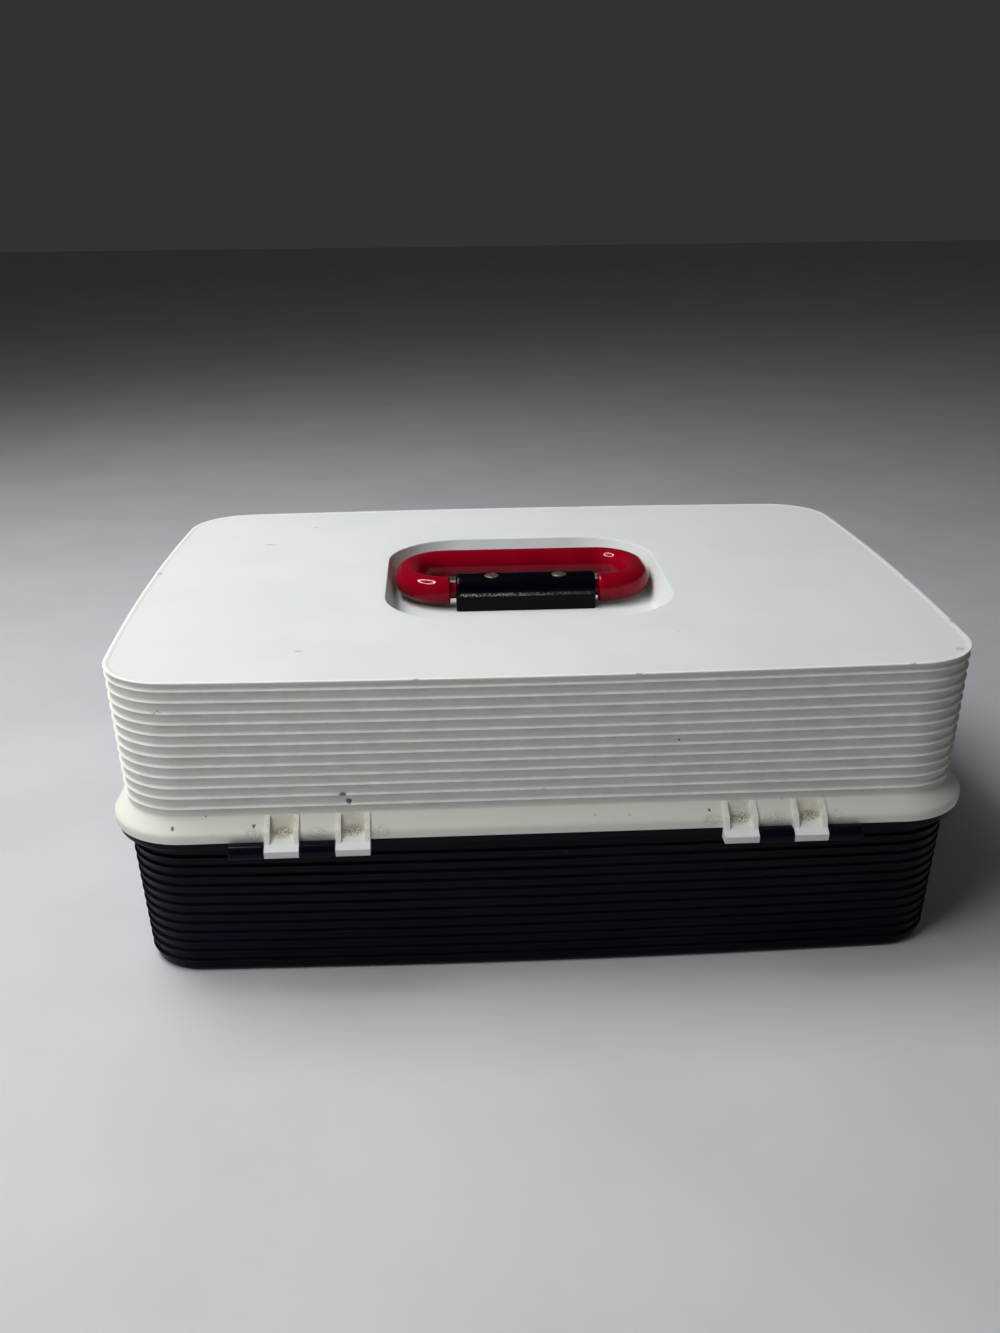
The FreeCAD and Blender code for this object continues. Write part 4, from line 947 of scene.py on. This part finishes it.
# %% [markdown]
# ## The base
#
# The base is one closed surface too: from the middle of its floor, up inside, over the lip that stands in the
# lid, round the thin rim and down the courses to the rounded foot and the middle of the underside.

# %% Base shell
FLOOR_THICKNESS, FOOT_RADIUS = 3.0, 3.0
RIM_REACH, RIM_THICKNESS, RIM_FADE = 0.2, 3.4, 7.0
LIP_TOP, LIP_OUTER, LIP_INNER = 3.5, -2.0, -4.2
FIRST_BASE_RIB, FIRST_BASE_INSET = 10.3, 3.5

root = -FIRST_BASE_INSET - RIB_STEP
foot = root - TAPER_SHARE * (RIB_COUNT - 1) * RIB_PITCH
rim_foot = SEAM - RIM_THICKNESS
inner_corners = [(foot - SHELL_WALL - 8, FLOOR_THICKNESS, 0), (foot - SHELL_WALL, FLOOR_THICKNESS, 1.5),
                 (root - SHELL_WALL, SEAM, 0.4)]
rim_corners = [(LIP_INNER, SEAM, 0.3), (LIP_INNER, SEAM + LIP_TOP, 0.5), (LIP_OUTER, SEAM + LIP_TOP, 0.8),
               (LIP_OUTER, SEAM, 0.3), (RIM_REACH, SEAM, 0.4), (RIM_REACH, rim_foot, 0.7), (root, rim_foot, 0.8)]
base_courses = courses(SEAM - FIRST_BASE_RIB, -FIRST_BASE_INSET)
foot_corners = [(foot, 0, FOOT_RADIUS), (foot - 10, 0, 0)]
base_profile = rounded(inner_corners + rim_corners + base_courses + foot_corners)

rim_share = np.clip((base_profile[:, 1] - SEAM + RIM_FADE) / (RIM_FADE - RIM_THICKNESS), 0, 1)
wall_rows = carried_with_bow(base_profile, rim_share, SPREAD * rim_share)
floor_rows = shrunk(wall_rows[0], 0, [0.4, 0.8])
base_rows = np.concatenate([floor_rows, wall_rows, shrunk(wall_rows[-1], 0, [0.8, 0.4])])
base_shell = mesh_from("base_skin", *closed_rows(base_rows))
ridge_and_groove_attributes(base_shell, base_rows, base_profile, len(floor_rows), *lips_and_roots(base_courses))
dress(base_shell, "base", "base_plastic", base_material, "base_shell")

# %% [markdown]
# ## Pieces with a constant section
#
# Hinge lugs, knuckles, ears and latches have an outline in the Y-Z plane that is carried along X. A lug's
# outline changes where its pocket begins, so it is carried through several stations, two of them at the same X.
# Both ends are closed by one face, because a latch's outline is hollow at its hook. A Bevel modifier rounds the
# edges, as the mould does.

# %% Carried sections
SAME_POINT_M = 0.00001
SHARP_ANGLE = math.radians(35)


def arc_points(centre, radius, start, end, steps):
    """Points on an arc: centre + radius * (cos a, sin a), a from start to end in degrees."""
    angle = np.radians(np.linspace(start, end, steps + 1))
    return [(centre[0] + radius * c, centre[1] + radius * s) for c, s in zip(np.cos(angle), np.sin(angle))]


def carried_along_x(stations):
    """Points, faces and end caps of closed outlines (y, z) at stations (x, outline)."""
    rows = np.array([[(x, y, z) for y, z in outline] for x, outline in stations], float)
    return capped_rows(rows)


def soft_edges(piece, width):
    """Merges doubled points and rounds the sharp edges by a small width."""
    weld = piece.modifiers.new("weld", "WELD")
    weld.merge_threshold = SAME_POINT_M
    bevel = piece.modifiers.new("soft edges", "BEVEL")
    bevel.width = width * MM
    bevel.segments = 2
    bevel.limit_method = "ANGLE"
    bevel.angle_limit = SHARP_ANGLE
    return piece


# %% [markdown]
# ## The hinges
#
# Four knuckles make a hinge: two white lugs of the lid, each beside a black knuckle of the base. A lug has a flat
# sloping brow over an upright front, and two thin cheeks that run up the flange. Between the cheeks is a pocket,
# whose back is the pressed-in part of the flange. A base knuckle is a barrel with an arm into the rim. A wire pin
# runs through all four.

# %% Outlines of the hinge
FLANGE_WALL = -(HALF_DEPTH + SPREAD)
KNUCKLE_RADIUS, KNUCKLE_ARM = 3.6, 4.0


def lug_outlines():
    """The cheek's outline and the pocket's, with the same count of points: front, underside, back and pocket."""
    y, z, wall, back = -HINGE_Y, HINGE_Z, FLANGE_WALL, FLANGE_WALL + 1.05
    front = rounded([(y - 0.4, z + 3.2, 0), (y - 3.4, z + 1.25, 0.3), (y - 3.3, z - 1.95, 0.8), (y, z - 2.1, 0)], 6)
    foot = [tuple(spot) for spot in front[1:]]
    foot += [(y + KNUCKLE_RADIUS, z - 1.9), (y + KNUCKLE_RADIUS, SEAM + 0.4), (back, SEAM + 1.1)]
    cheek = foot + [(back, SEAM + 3.0), (wall + 5.1, SEAM + 7.0), (wall + 5.1, SEAM + 9.4), (wall + 3.9, SEAM + 9.5),
                    (wall - 2.35, SEAM + 5.3), (y - 0.7, z + 3.1)]
    pocket = foot + [(back, SEAM + rise) for rise in (2.2, 2.4, 2.6, 2.8)]
    return cheek, pocket + [(wall + 1.0, SEAM + 3.1), (y - 0.4, z + 3.2)]


def knuckle_ends(side, step):
    """Low and high X of a knuckle, counted inward from the outermost one of the hinge on that side."""
    ends = [side * (HINGE_CENTRE + (2 - step - edge) * KNUCKLE_WIDTH) for edge in (0, 1)]
    return min(ends) + KNUCKLE_GAP / 2, max(ends) - KNUCKLE_GAP / 2


def knuckle_outline():
    """A base knuckle: the barrel, its arm into the rim and the gusset down to the wall."""
    wall = HINGE_Y - KNUCKLE_ARM - FIRST_BASE_INSET - RIB_STEP - SHELL_WALL / 2
    barrel = arc_points((-HINGE_Y, HINGE_Z), KNUCKLE_RADIUS, 90, 270, 16)
    return barrel + [(-wall, SEAM - 9.0), (-wall, SEAM - 0.3), (-(HINGE_Y - KNUCKLE_RADIUS), SEAM - 0.3)]


# %% Hinge lugs and knuckles
LUG_EDGE = 0.35

cheek_outline, pocket_outline = lug_outlines()
for side, side_name in ((-1, "left"), (1, "right")):
    for step in (1, 3):
        low, high = knuckle_ends(side, step)
        stations = [(low, cheek_outline), (low + CHEEK, cheek_outline), (low + CHEEK, pocket_outline),
                    (high - CHEEK, pocket_outline), (high - CHEEK, cheek_outline), (high, cheek_outline)]
        lug = mesh_from(f"hinge_lug_{side_name}_{step}", *carried_along_x(stations))
        shares = np.ones(len(lug.data.vertices), np.float32)
        lug.data.attributes.new("lug", "FLOAT", "POINT").data.foreach_set("value", shares)
        dress(soft_edges(lug, LUG_EDGE), "lid", "lid_plastic", lid_material)
    for step in (0, 2):
        low, high = knuckle_ends(side, step)
        knuckle = mesh_from(f"knuckle_{side_name}_{step}",
                            *carried_along_x([(low, knuckle_outline()), (high, knuckle_outline())]))
        dress(soft_edges(knuckle, LUG_EDGE), "base", "base_plastic", base_material)


# %% Hinge wires
PIN_RADIUS, PIN_INSET, PIN_AROUND = 1.5, 0.1, 32


def pin_rows(low, high):
    """Circles along X about the hinge's axis, point + r * (cos a, sin a), smaller at each end for a round edge."""
    ends = [(low, PIN_RADIUS - 0.4), (low + 0.15, PIN_RADIUS - 0.12), (low + 0.4, PIN_RADIUS)]
    ends += [(low + high - x, radius) for x, radius in ends[::-1]]
    angle = np.linspace(0, 2 * math.pi, PIN_AROUND, endpoint=False)
    return np.array([np.stack([np.full(PIN_AROUND, x), radius * np.cos(angle) - HINGE_Y,
                               radius * np.sin(angle) + HINGE_Z], axis=1) for x, radius in ends])


for side, side_name in ((-1, "left"), (1, "right")):
    ends = knuckle_ends(side, 0) + knuckle_ends(side, 3)
    rows = pin_rows(min(ends) + PIN_INSET, max(ends) - PIN_INSET)
    pin = mesh_from(f"hinge_wire_{side_name}", *closed_rows(rows))
    dress(pin, "base", "pin_steel", pin_material, f"hinge_pin_{side_name}")

# %% [markdown]
# ## The latches
#
# On the other long side two hooked plates hang on pins between ears of the lid. At rest they stand released by
# a few degrees; swung in, their hooks catch under the rim of the base.

# %% Outlines of the latches
pin_low, pin_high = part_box("latch_pin_left")
LATCH_Y, LATCH_Z = (pin_low.y + pin_high.y) / 2 / MM, (pin_low.z + pin_high.z) / 2 / MM
BARREL, PLATE, EAR_BACK = 3.8, 3.0, 5.9
PIN_RISE, HOOK_GAP, HOOK_HEIGHT, HOOK_NOSE, HOOK_CHAMFER = 7.5, 0.4, 3.2, -6.1, 1.1
LATCH_DROP, THUMB_RISE, THUMB_REACH = 21.0, 5.0, 2.6
RELEASE = math.radians(14)
print("latch pin, mm:", round(LATCH_Y, 2), round(LATCH_Z, 2))


def ear_outline():
    """An ear: half round at the pin, running back into the flange."""
    nose = arc_points((LATCH_Y, LATCH_Z), BARREL, -90, 90, 14)
    return nose + [(LATCH_Y - EAR_BACK, SEAM + 6.5), (LATCH_Y - EAR_BACK, SEAM + 0.5)]


def latch_outline():
    """
    A latch about its pin: barrel, plate, hook and thumb lip. It is then turned by the release angle a and moved:
    (y cos a - z sin a, y sin a + z cos a) + the pin's place.
    """
    hook_top = -(PIN_RISE + RIM_THICKNESS + HOOK_GAP)
    hook_foot = hook_top - HOOK_HEIGHT
    inner = BARREL - PLATE
    drawn = arc_points((0, 0), BARREL, 0, 270, 22)
    drawn += [(inner, -BARREL - PLATE / 2), (inner, hook_top), (HOOK_NOSE, hook_top),
              (HOOK_NOSE, hook_top - HOOK_CHAMFER), (HOOK_NOSE + HOOK_CHAMFER, hook_foot), (inner, hook_foot),
              (inner, THUMB_RISE - LATCH_DROP), (inner + THUMB_REACH, -LATCH_DROP),
              (BARREL + THUMB_REACH, -LATCH_DROP), (BARREL, THUMB_RISE - LATCH_DROP)]
    y, z = np.array(drawn).T
    c, s = math.cos(RELEASE), math.sin(RELEASE)
    return list(zip(y * c - z * s + LATCH_Y, y * s + z * c + LATCH_Z))


# %% Ears and latches
LATCH_CENTRE, LATCH_WIDTH = 101.5, 36.0
EAR_WIDTH, EAR_GAP, EAR_EDGE = 5.0, 0.4, 0.5

for sign, side_name in ((-1, "left"), (1, "right")):
    middle = sign * LATCH_CENTRE
    inner_face = LATCH_WIDTH / 2 + EAR_GAP
    for end, word in ((-1, "low"), (1, "high")):
        faces_x = sorted((middle + end * inner_face, middle + end * (inner_face + EAR_WIDTH)))
        ear = mesh_from(f"latch_ear_{side_name}_{word}", *carried_along_x([(x, ear_outline()) for x in faces_x]))
        dress(soft_edges(ear, EAR_EDGE), "lid", "lid_plastic", lid_material)
    plate_ends = [(middle + end * LATCH_WIDTH / 2, latch_outline()) for end in (-1, 1)]
    latch = mesh_from(f"latch_plate_{side_name}", *carried_along_x(plate_ends))
    dress(soft_edges(latch, EAR_EDGE), f"latch_{side_name}", "latch_plastic", handle_material, f"latch_{side_name}")

# %% [markdown]
# ## The handle
#
# The handle is a round bar bent into a C. Its middle line is made of straight runs and four quarter arcs in one
# plane. At each point of the line a circle stands square to it. At both ends the circles shrink round the edge
# of the bar and step down to the thin stubs that turn in the saddle.

# %% Handle bar
BAR_RADIUS, BAR_HALF_WIDTH, BAR_DROP, BEND_RADIUS = 6.9, 57.1, 47.0, 19.0
SADDLE_HALF, RIGHT_GAP, LEFT_GAP = 34.0, 1.6, 2.8
STUB_RADIUS, STUB_LENGTH, STUB_EASE = 4.0, 15.0, 0.4
END_EASE = 1.3
BEND_POINTS, AROUND = 17, 56


def bar_line():
    """Points and directions of the bar's middle line, from the right end round to the left end."""
    near, far = PIVOT_Y, PIVOT_Y + BAR_DROP
    knee = BAR_HALF_WIDTH - BEND_RADIUS
    points, headings = [], []
    for centre_x, centre_y, start in ((knee, near + BEND_RADIUS, -90), (knee, far - BEND_RADIUS, 0),
                                      (-knee, far - BEND_RADIUS, 90), (-knee, near + BEND_RADIUS, 180)):
        angle = np.radians(np.linspace(start, start + 90, BEND_POINTS))
        points.append(np.stack([centre_x + BEND_RADIUS * np.cos(angle), centre_y + BEND_RADIUS * np.sin(angle)], 1))
        headings.append(np.stack([-np.sin(angle), np.cos(angle)], 1))
    points, headings = np.concatenate(points), np.concatenate(headings)
    first, last = np.array([[SADDLE_HALF + RIGHT_GAP, near]]), np.array([[-SADDLE_HALF - LEFT_GAP, near]])
    return np.concatenate([first, points, last]), np.concatenate([[[1, 0]], headings, [[1, 0]]])


def bar_rows():
    """Circles of radius r about the line: point + r * (cos a * sideways + sin a * up), with the eased ends."""
    points, headings = bar_line()
    quarter = np.linspace(0, math.pi / 2, 6)
    lead = [(-STUB_LENGTH, STUB_RADIUS - STUB_EASE), (-STUB_LENGTH + STUB_EASE, STUB_RADIUS), (0, STUB_RADIUS)]
    lead += [(END_EASE * (1 - math.cos(a)), BAR_RADIUS - END_EASE + END_EASE * math.sin(a)) for a in quarter]
    shifts, radii = np.array(lead).T
    start_points = points[:1] + shifts[:, None] * headings[:1]
    end_points = (points[-1:] - shifts[:, None] * headings[-1:])[::-1]
    line = np.concatenate([start_points, points[1:-1], end_points])
    first_aim, last_aim = (np.repeat(heading, len(lead), axis=0) for heading in (headings[:1], headings[-1:]))
    aim = np.concatenate([first_aim, headings[1:-1], last_aim])
    size = np.concatenate([radii, np.full(len(points) - 2, BAR_RADIUS), radii[::-1]])
    angle = np.linspace(0, 2 * math.pi, AROUND, endpoint=False)
    sideways = np.stack([aim[:, 1], -aim[:, 0]], axis=1)
    flat = line[:, None] + size[:, None, None] * np.cos(angle)[None, :, None] * sideways[:, None]
    height = PIVOT_Z + size[:, None] * np.sin(angle)[None]
    return np.concatenate([flat, height[:, :, None]], axis=2)


handle = mesh_from("handle_bar", *closed_rows(bar_rows()))
dress(handle, "handle", "handle_plastic", handle_material, "handle_loop")

# %% [markdown]
# ## The saddle
#
# The saddle is a half-round block over the stubs. It is a grid along X whose rows follow its section: up the
# front, over the crown and down the back, then along its underside, which arches over the stub near each end.
# There the end is a hollow outline, so it is closed by one face. Round its two screws the crown is pressed down to
# a flat seat.

# %% Saddle's section and stations
SCREW_X, SCREW_SPAN = 16.5, 5
SLOT_RADIUS = STUB_RADIUS + 0.05
SLOT_LENGTH = STUB_LENGTH - RIGHT_GAP + 0.4
SLOT_POINTS = 13
SADDLE_EASE = 1.5
COARSE_STEP, FINE_STEP, JUMP = 1.2, 0.25, 0.01


def saddle_section(inset, slotted):
    """A closed section (y, z), inset all round: sides and half circle outside, then the slot or a flat underside."""
    radius = SADDLE_RADIUS - inset
    side = np.linspace(floor_level, PIVOT_Z, 9)[:-1]
    angle = np.linspace(math.pi, 0, 61)
    outside = [(-radius, z) for z in side] + [(radius * math.cos(a), PIVOT_Z + radius * math.sin(a)) for a in angle]
    outside += [(radius, z) for z in side[::-1]]
    turn = np.linspace(0, math.pi, SLOT_POINTS)
    if slotted:
        inside = [(SLOT_RADIUS, floor_level)]
        inside += [(SLOT_RADIUS * math.cos(a), PIVOT_Z + SLOT_RADIUS * math.sin(a)) for a in turn]
        inside += [(-SLOT_RADIUS, floor_level)]
    else:
        inside = [(SLOT_RADIUS * (1 - 2 * share), floor_level) for share in np.linspace(0, 1, SLOT_POINTS + 2)]
    return np.array(outside + inside) + np.array([PIVOT_Y, 0])


def saddle_stations():
    """X of the rows with their insets: a quarter circle of ease at each end and fine steps round the screws."""
    quarter = np.linspace(0, math.pi / 2, 5)
    slot_end = SADDLE_HALF - SLOT_LENGTH
    screw_low, screw_high = SCREW_X - SCREW_SPAN, SCREW_X + SCREW_SPAN
    half = [(x, 0.0, False) for x in np.arange(0, screw_low, COARSE_STEP)]
    half += [(x, 0.0, False) for x in np.arange(screw_low, screw_high, FINE_STEP) if x < slot_end]
    half += [(slot_end - JUMP, 0.0, False), (slot_end, 0.0, True)]
    half += [(x, 0.0, True) for x in np.arange(slot_end + 1, SADDLE_HALF - SADDLE_EASE, COARSE_STEP)]
    half += [(SADDLE_HALF - SADDLE_EASE * (1 - math.sin(a)), SADDLE_EASE * (1 - math.cos(a)), True) for a in quarter]
    return [(-x, inset, slotted) for x, inset, slotted in half[:0:-1]] + half


# %% Saddle
SEAT_RADIUS, SEAT_DEPTH, SEAT_STEP = 4.1, 2.2, 0.5


def smooth_step(share):
    """0 below 0, 1 above 1 and t * t * (3 - 2 t) between."""
    share = np.clip(share, 0, 1)
    return share * share * (3 - 2 * share)


def seat_pressed(rows):
    """Lowers the crown round each screw to a flat seat, with a smooth step SEAT_STEP wide at its edge."""
    crown = PIVOT_Z + SADDLE_RADIUS
    for sign in (-1, 1):
        away = np.hypot(rows[..., 0] - sign * SCREW_X, rows[..., 1] - PIVOT_Y)
        share = smooth_step((SEAT_RADIUS + SEAT_STEP / 2 - away) / SEAT_STEP)
        low = np.minimum(rows[..., 2], crown - SEAT_DEPTH)
        upper = rows[..., 2] > PIVOT_Z + SLOT_RADIUS
        rows[..., 2] = np.where(upper, rows[..., 2] + share * (low - rows[..., 2]), rows[..., 2])
    return rows


sections = [(x, saddle_section(inset, slotted)) for x, inset, slotted in saddle_stations()]
saddle_rows = np.array([[(x, y, z) for y, z in section] for x, section in sections])
saddle = mesh_from("saddle_block", *capped_rows(seat_pressed(saddle_rows)))
dress(saddle, "lid", "saddle_plastic", saddle_material, "handle_saddle")

# %% [markdown]
# ## The screws
#
# A screw head is a low dome with a cross recess. On rings and spokes about the screw's axis the height is the
# dome's, less the depth of the cross where a point lies within its two bars.

# %% Screws
HEAD_RADIUS, HEAD_SINK, HEAD_HEIGHT = 3.7, 0.5, 1.7
DOME_DROP, BAR_HALF, BAR_LENGTH, CROSS_DEPTH = 0.55, 0.55, 2.0, 0.9
SPOKES = 96


def screw_rows(x):
    """
    Rings from the middle out: z = top - DOME_DROP * (r / R)^2, lowered by the cross, whose bars reach BAR_HALF to
    either side of the axes and BAR_LENGTH along them; then the rim and the side of the head, down into its seat.
    """
    top = PIVOT_Z + SADDLE_RADIUS - HEAD_SINK
    rings = np.concatenate([np.linspace(0.12, HEAD_RADIUS - 0.2, 26), [HEAD_RADIUS - 0.05, HEAD_RADIUS, HEAD_RADIUS]])
    angle = np.linspace(0, 2 * math.pi, SPOKES, endpoint=False)
    across, along = rings[:, None] * np.cos(angle), rings[:, None] * np.sin(angle)
    height = np.repeat((top - DOME_DROP * (rings / HEAD_RADIUS) ** 2)[:, None], SPOKES, axis=1)
    bars = np.minimum(np.maximum(np.abs(across) / BAR_HALF, np.abs(along) / BAR_LENGTH),
                      np.maximum(np.abs(along) / BAR_HALF, np.abs(across) / BAR_LENGTH))
    height -= CROSS_DEPTH * smooth_step((1.15 - bars) / 0.3)
    height[-3:] = np.array([top - 0.62, top - 0.8, top - HEAD_HEIGHT - 0.02])[:, None]
    return np.stack([across + x, along + PIVOT_Y, height], axis=2)


for sign, side_name in ((-1, "left"), (1, "right")):
    screw = mesh_from(f"screw_head_{side_name}", *closed_rows(screw_rows(sign * SCREW_X)))
    dress(screw, "lid", "screw_steel", screw_material, f"handle_screw_{side_name}")

# %% [markdown]
# ## Bosses, latch pins and racks
#
# Under the recess two short bosses take the screws. The latch pins and the racks keep their CAD meshes: only
# their finish is made here.

# %% Bosses and carried-over pieces
BOSS_RADIUS, BOSS_LENGTH, BOSS_AROUND = 4.6, 2.4, 48


def boss_rows(x):
    """Rings of a round boss with an eased edge, from its foot in the tray down to its flat end."""
    profile = rounded([(BOSS_RADIUS, tray_bottom + 0.3, 0), (BOSS_RADIUS, tray_bottom - BOSS_LENGTH, 0.5),
                       (0.4, tray_bottom - BOSS_LENGTH, 0)])
    angle = np.linspace(0, 2 * math.pi, BOSS_AROUND, endpoint=False)
    across = profile[:, :1] * np.cos(angle) + x
    along = profile[:, :1] * np.sin(angle) + PIVOT_Y
    return np.stack([across, along, np.repeat(profile[:, 1:], BOSS_AROUND, axis=1)], axis=2)


bosses = mesh_from("screw_bosses", *joined(*[closed_rows(boss_rows(sign * SCREW_X)) for sign in (-1, 1)]))
dress(bosses, "lid", "lid_plastic", lid_material)

for names, material in ((("rack_rear", "rack_middle", "rack_front"), rack_material),
                        (("latch_pin_left", "latch_pin_right"), pin_material)):
    for name in names:
        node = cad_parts[name]
        node.data.materials.clear()
        node.data.materials.append(material)

# %% [markdown]
# ## Floor and light
#
# The case stands on a plain pale floor. Large soft panels stand high on the left, with weaker ones in front, and
# the world gives a faint even glow. A glowing ring is there for what glossy parts mirror.

# %% Floor
FLOOR_HALF = 6.0

floor_mesh = bpy.data.meshes.new("floor")
floor_corners = [(x, y, 0) for x, y in ((-FLOOR_HALF, -FLOOR_HALF), (FLOOR_HALF, -FLOOR_HALF),
                                        (FLOOR_HALF, FLOOR_HALF), (-FLOOR_HALF, FLOOR_HALF))]
floor_mesh.from_pydata(floor_corners, [], [(0, 1, 2, 3)])
floor = bpy.data.objects.new("floor", floor_mesh)
bpy.context.scene.collection.objects.link(floor)
floor_material, floor_tree, floor_sockets = new_material("floor", Roughness=0.9)
mottle = ramp(floor_tree, noise(floor_tree, object_place(floor_tree), 9.0, 4.0), 0.3, 0.7)
feed(floor_tree, mixed(floor_tree, mottle, shade(212, 213, 217), shade(205, 206, 210)), floor_sockets["Base Color"])
floor_mesh.materials.append(floor_material)

# %% Soft panels
LIGHTS = {"near_left": ((-0.55, -0.35, 0.93), 0.8, 5.2), "far_left": ((-0.6, 0.6, 0.9), 0.8, 1.4),
          "front_left": ((-0.9, -0.75, 0.85), 0.7, 2.4), "front": ((-0.05, -1.7, 0.95), 0.5, 0.9),
          "high_left": ((-0.47, 0.07, 0.98), 0.43, 5.0)}
LIT_HEIGHT = 0.08


def look_axes(aim):
    """Rows of a rotation whose -Z looks along aim."""
    back = -aim / np.linalg.norm(aim)
    side = np.cross([0, 0, 1], back)
    side = side / np.linalg.norm(side)
    return np.stack([side, np.cross(back, side), back], axis=1)


def area_light(name, place, size, power):
    """A square panel of light that faces the middle of the case."""
    data = bpy.data.lights.new(name, "AREA")
    data.size, data.energy = size, power
    lamp = bpy.data.objects.new(name, data)
    bpy.context.scene.collection.objects.link(lamp)
    lamp.location = place
    lamp.rotation_euler = Matrix(look_axes(np.array([0, 0, LIT_HEIGHT]) - place).tolist()).to_euler()
    lamp.visible_glossy = False


for name, (place, size, power) in LIGHTS.items():
    area_light(name, place, size, power)
print("panels, W:", sum(power for _, _, power in LIGHTS.values()))

# %% Ring lamp and world
RING_PLACE, RING_INNER, RING_OUTER, RING_GLOW = (-0.47, 0.07, 0.98), 0.183, 0.215, 90.0
RING_STRETCH, RING_STEPS, RING_AIM_HEIGHT = 1.4, 48, 0.12
WORLD_LEVEL = 0.04


def ring_lamp(name):
    """
    A flat glowing ring, stretched sideways, that faces the middle of the case: place + r * (stretch * cos a across
    + sin a up). Diffuse rays don't see it, so it lights no surface directly and shows in glossy reflections.
    """
    turns = np.linspace(0, 2 * math.pi, RING_STEPS, endpoint=False)
    circle = np.stack([RING_STRETCH * np.cos(turns), np.sin(turns)], axis=1)
    flat = np.concatenate([circle * RING_INNER, circle * RING_OUTER])
    axes = look_axes(np.array([0, 0, RING_AIM_HEIGHT]) - RING_PLACE)
    mesh = bpy.data.meshes.new(name)
    mesh.from_pydata((flat @ axes[:, :2].T + RING_PLACE).tolist(), [], grid_faces(2, RING_STEPS).tolist())
    mesh.materials.append(new_material(name, Base_Color=(0, 0, 0, 1), Emission_Color=(1, 1, 1, 1),
                                       Emission_Strength=RING_GLOW)[0])
    ring = bpy.data.objects.new(name, mesh)
    bpy.context.scene.collection.objects.link(ring)
    ring.visible_diffuse = False


ring_lamp("ring_lamp")
world = bpy.data.worlds.new("world")
world.use_nodes = True
background = world.node_tree.nodes["Background"].inputs
background["Color"].default_value = shade(230, 232, 238)
background["Strength"].default_value = WORLD_LEVEL
bpy.context.scene.world = world
bpy.context.scene.view_settings.view_transform = "Standard"
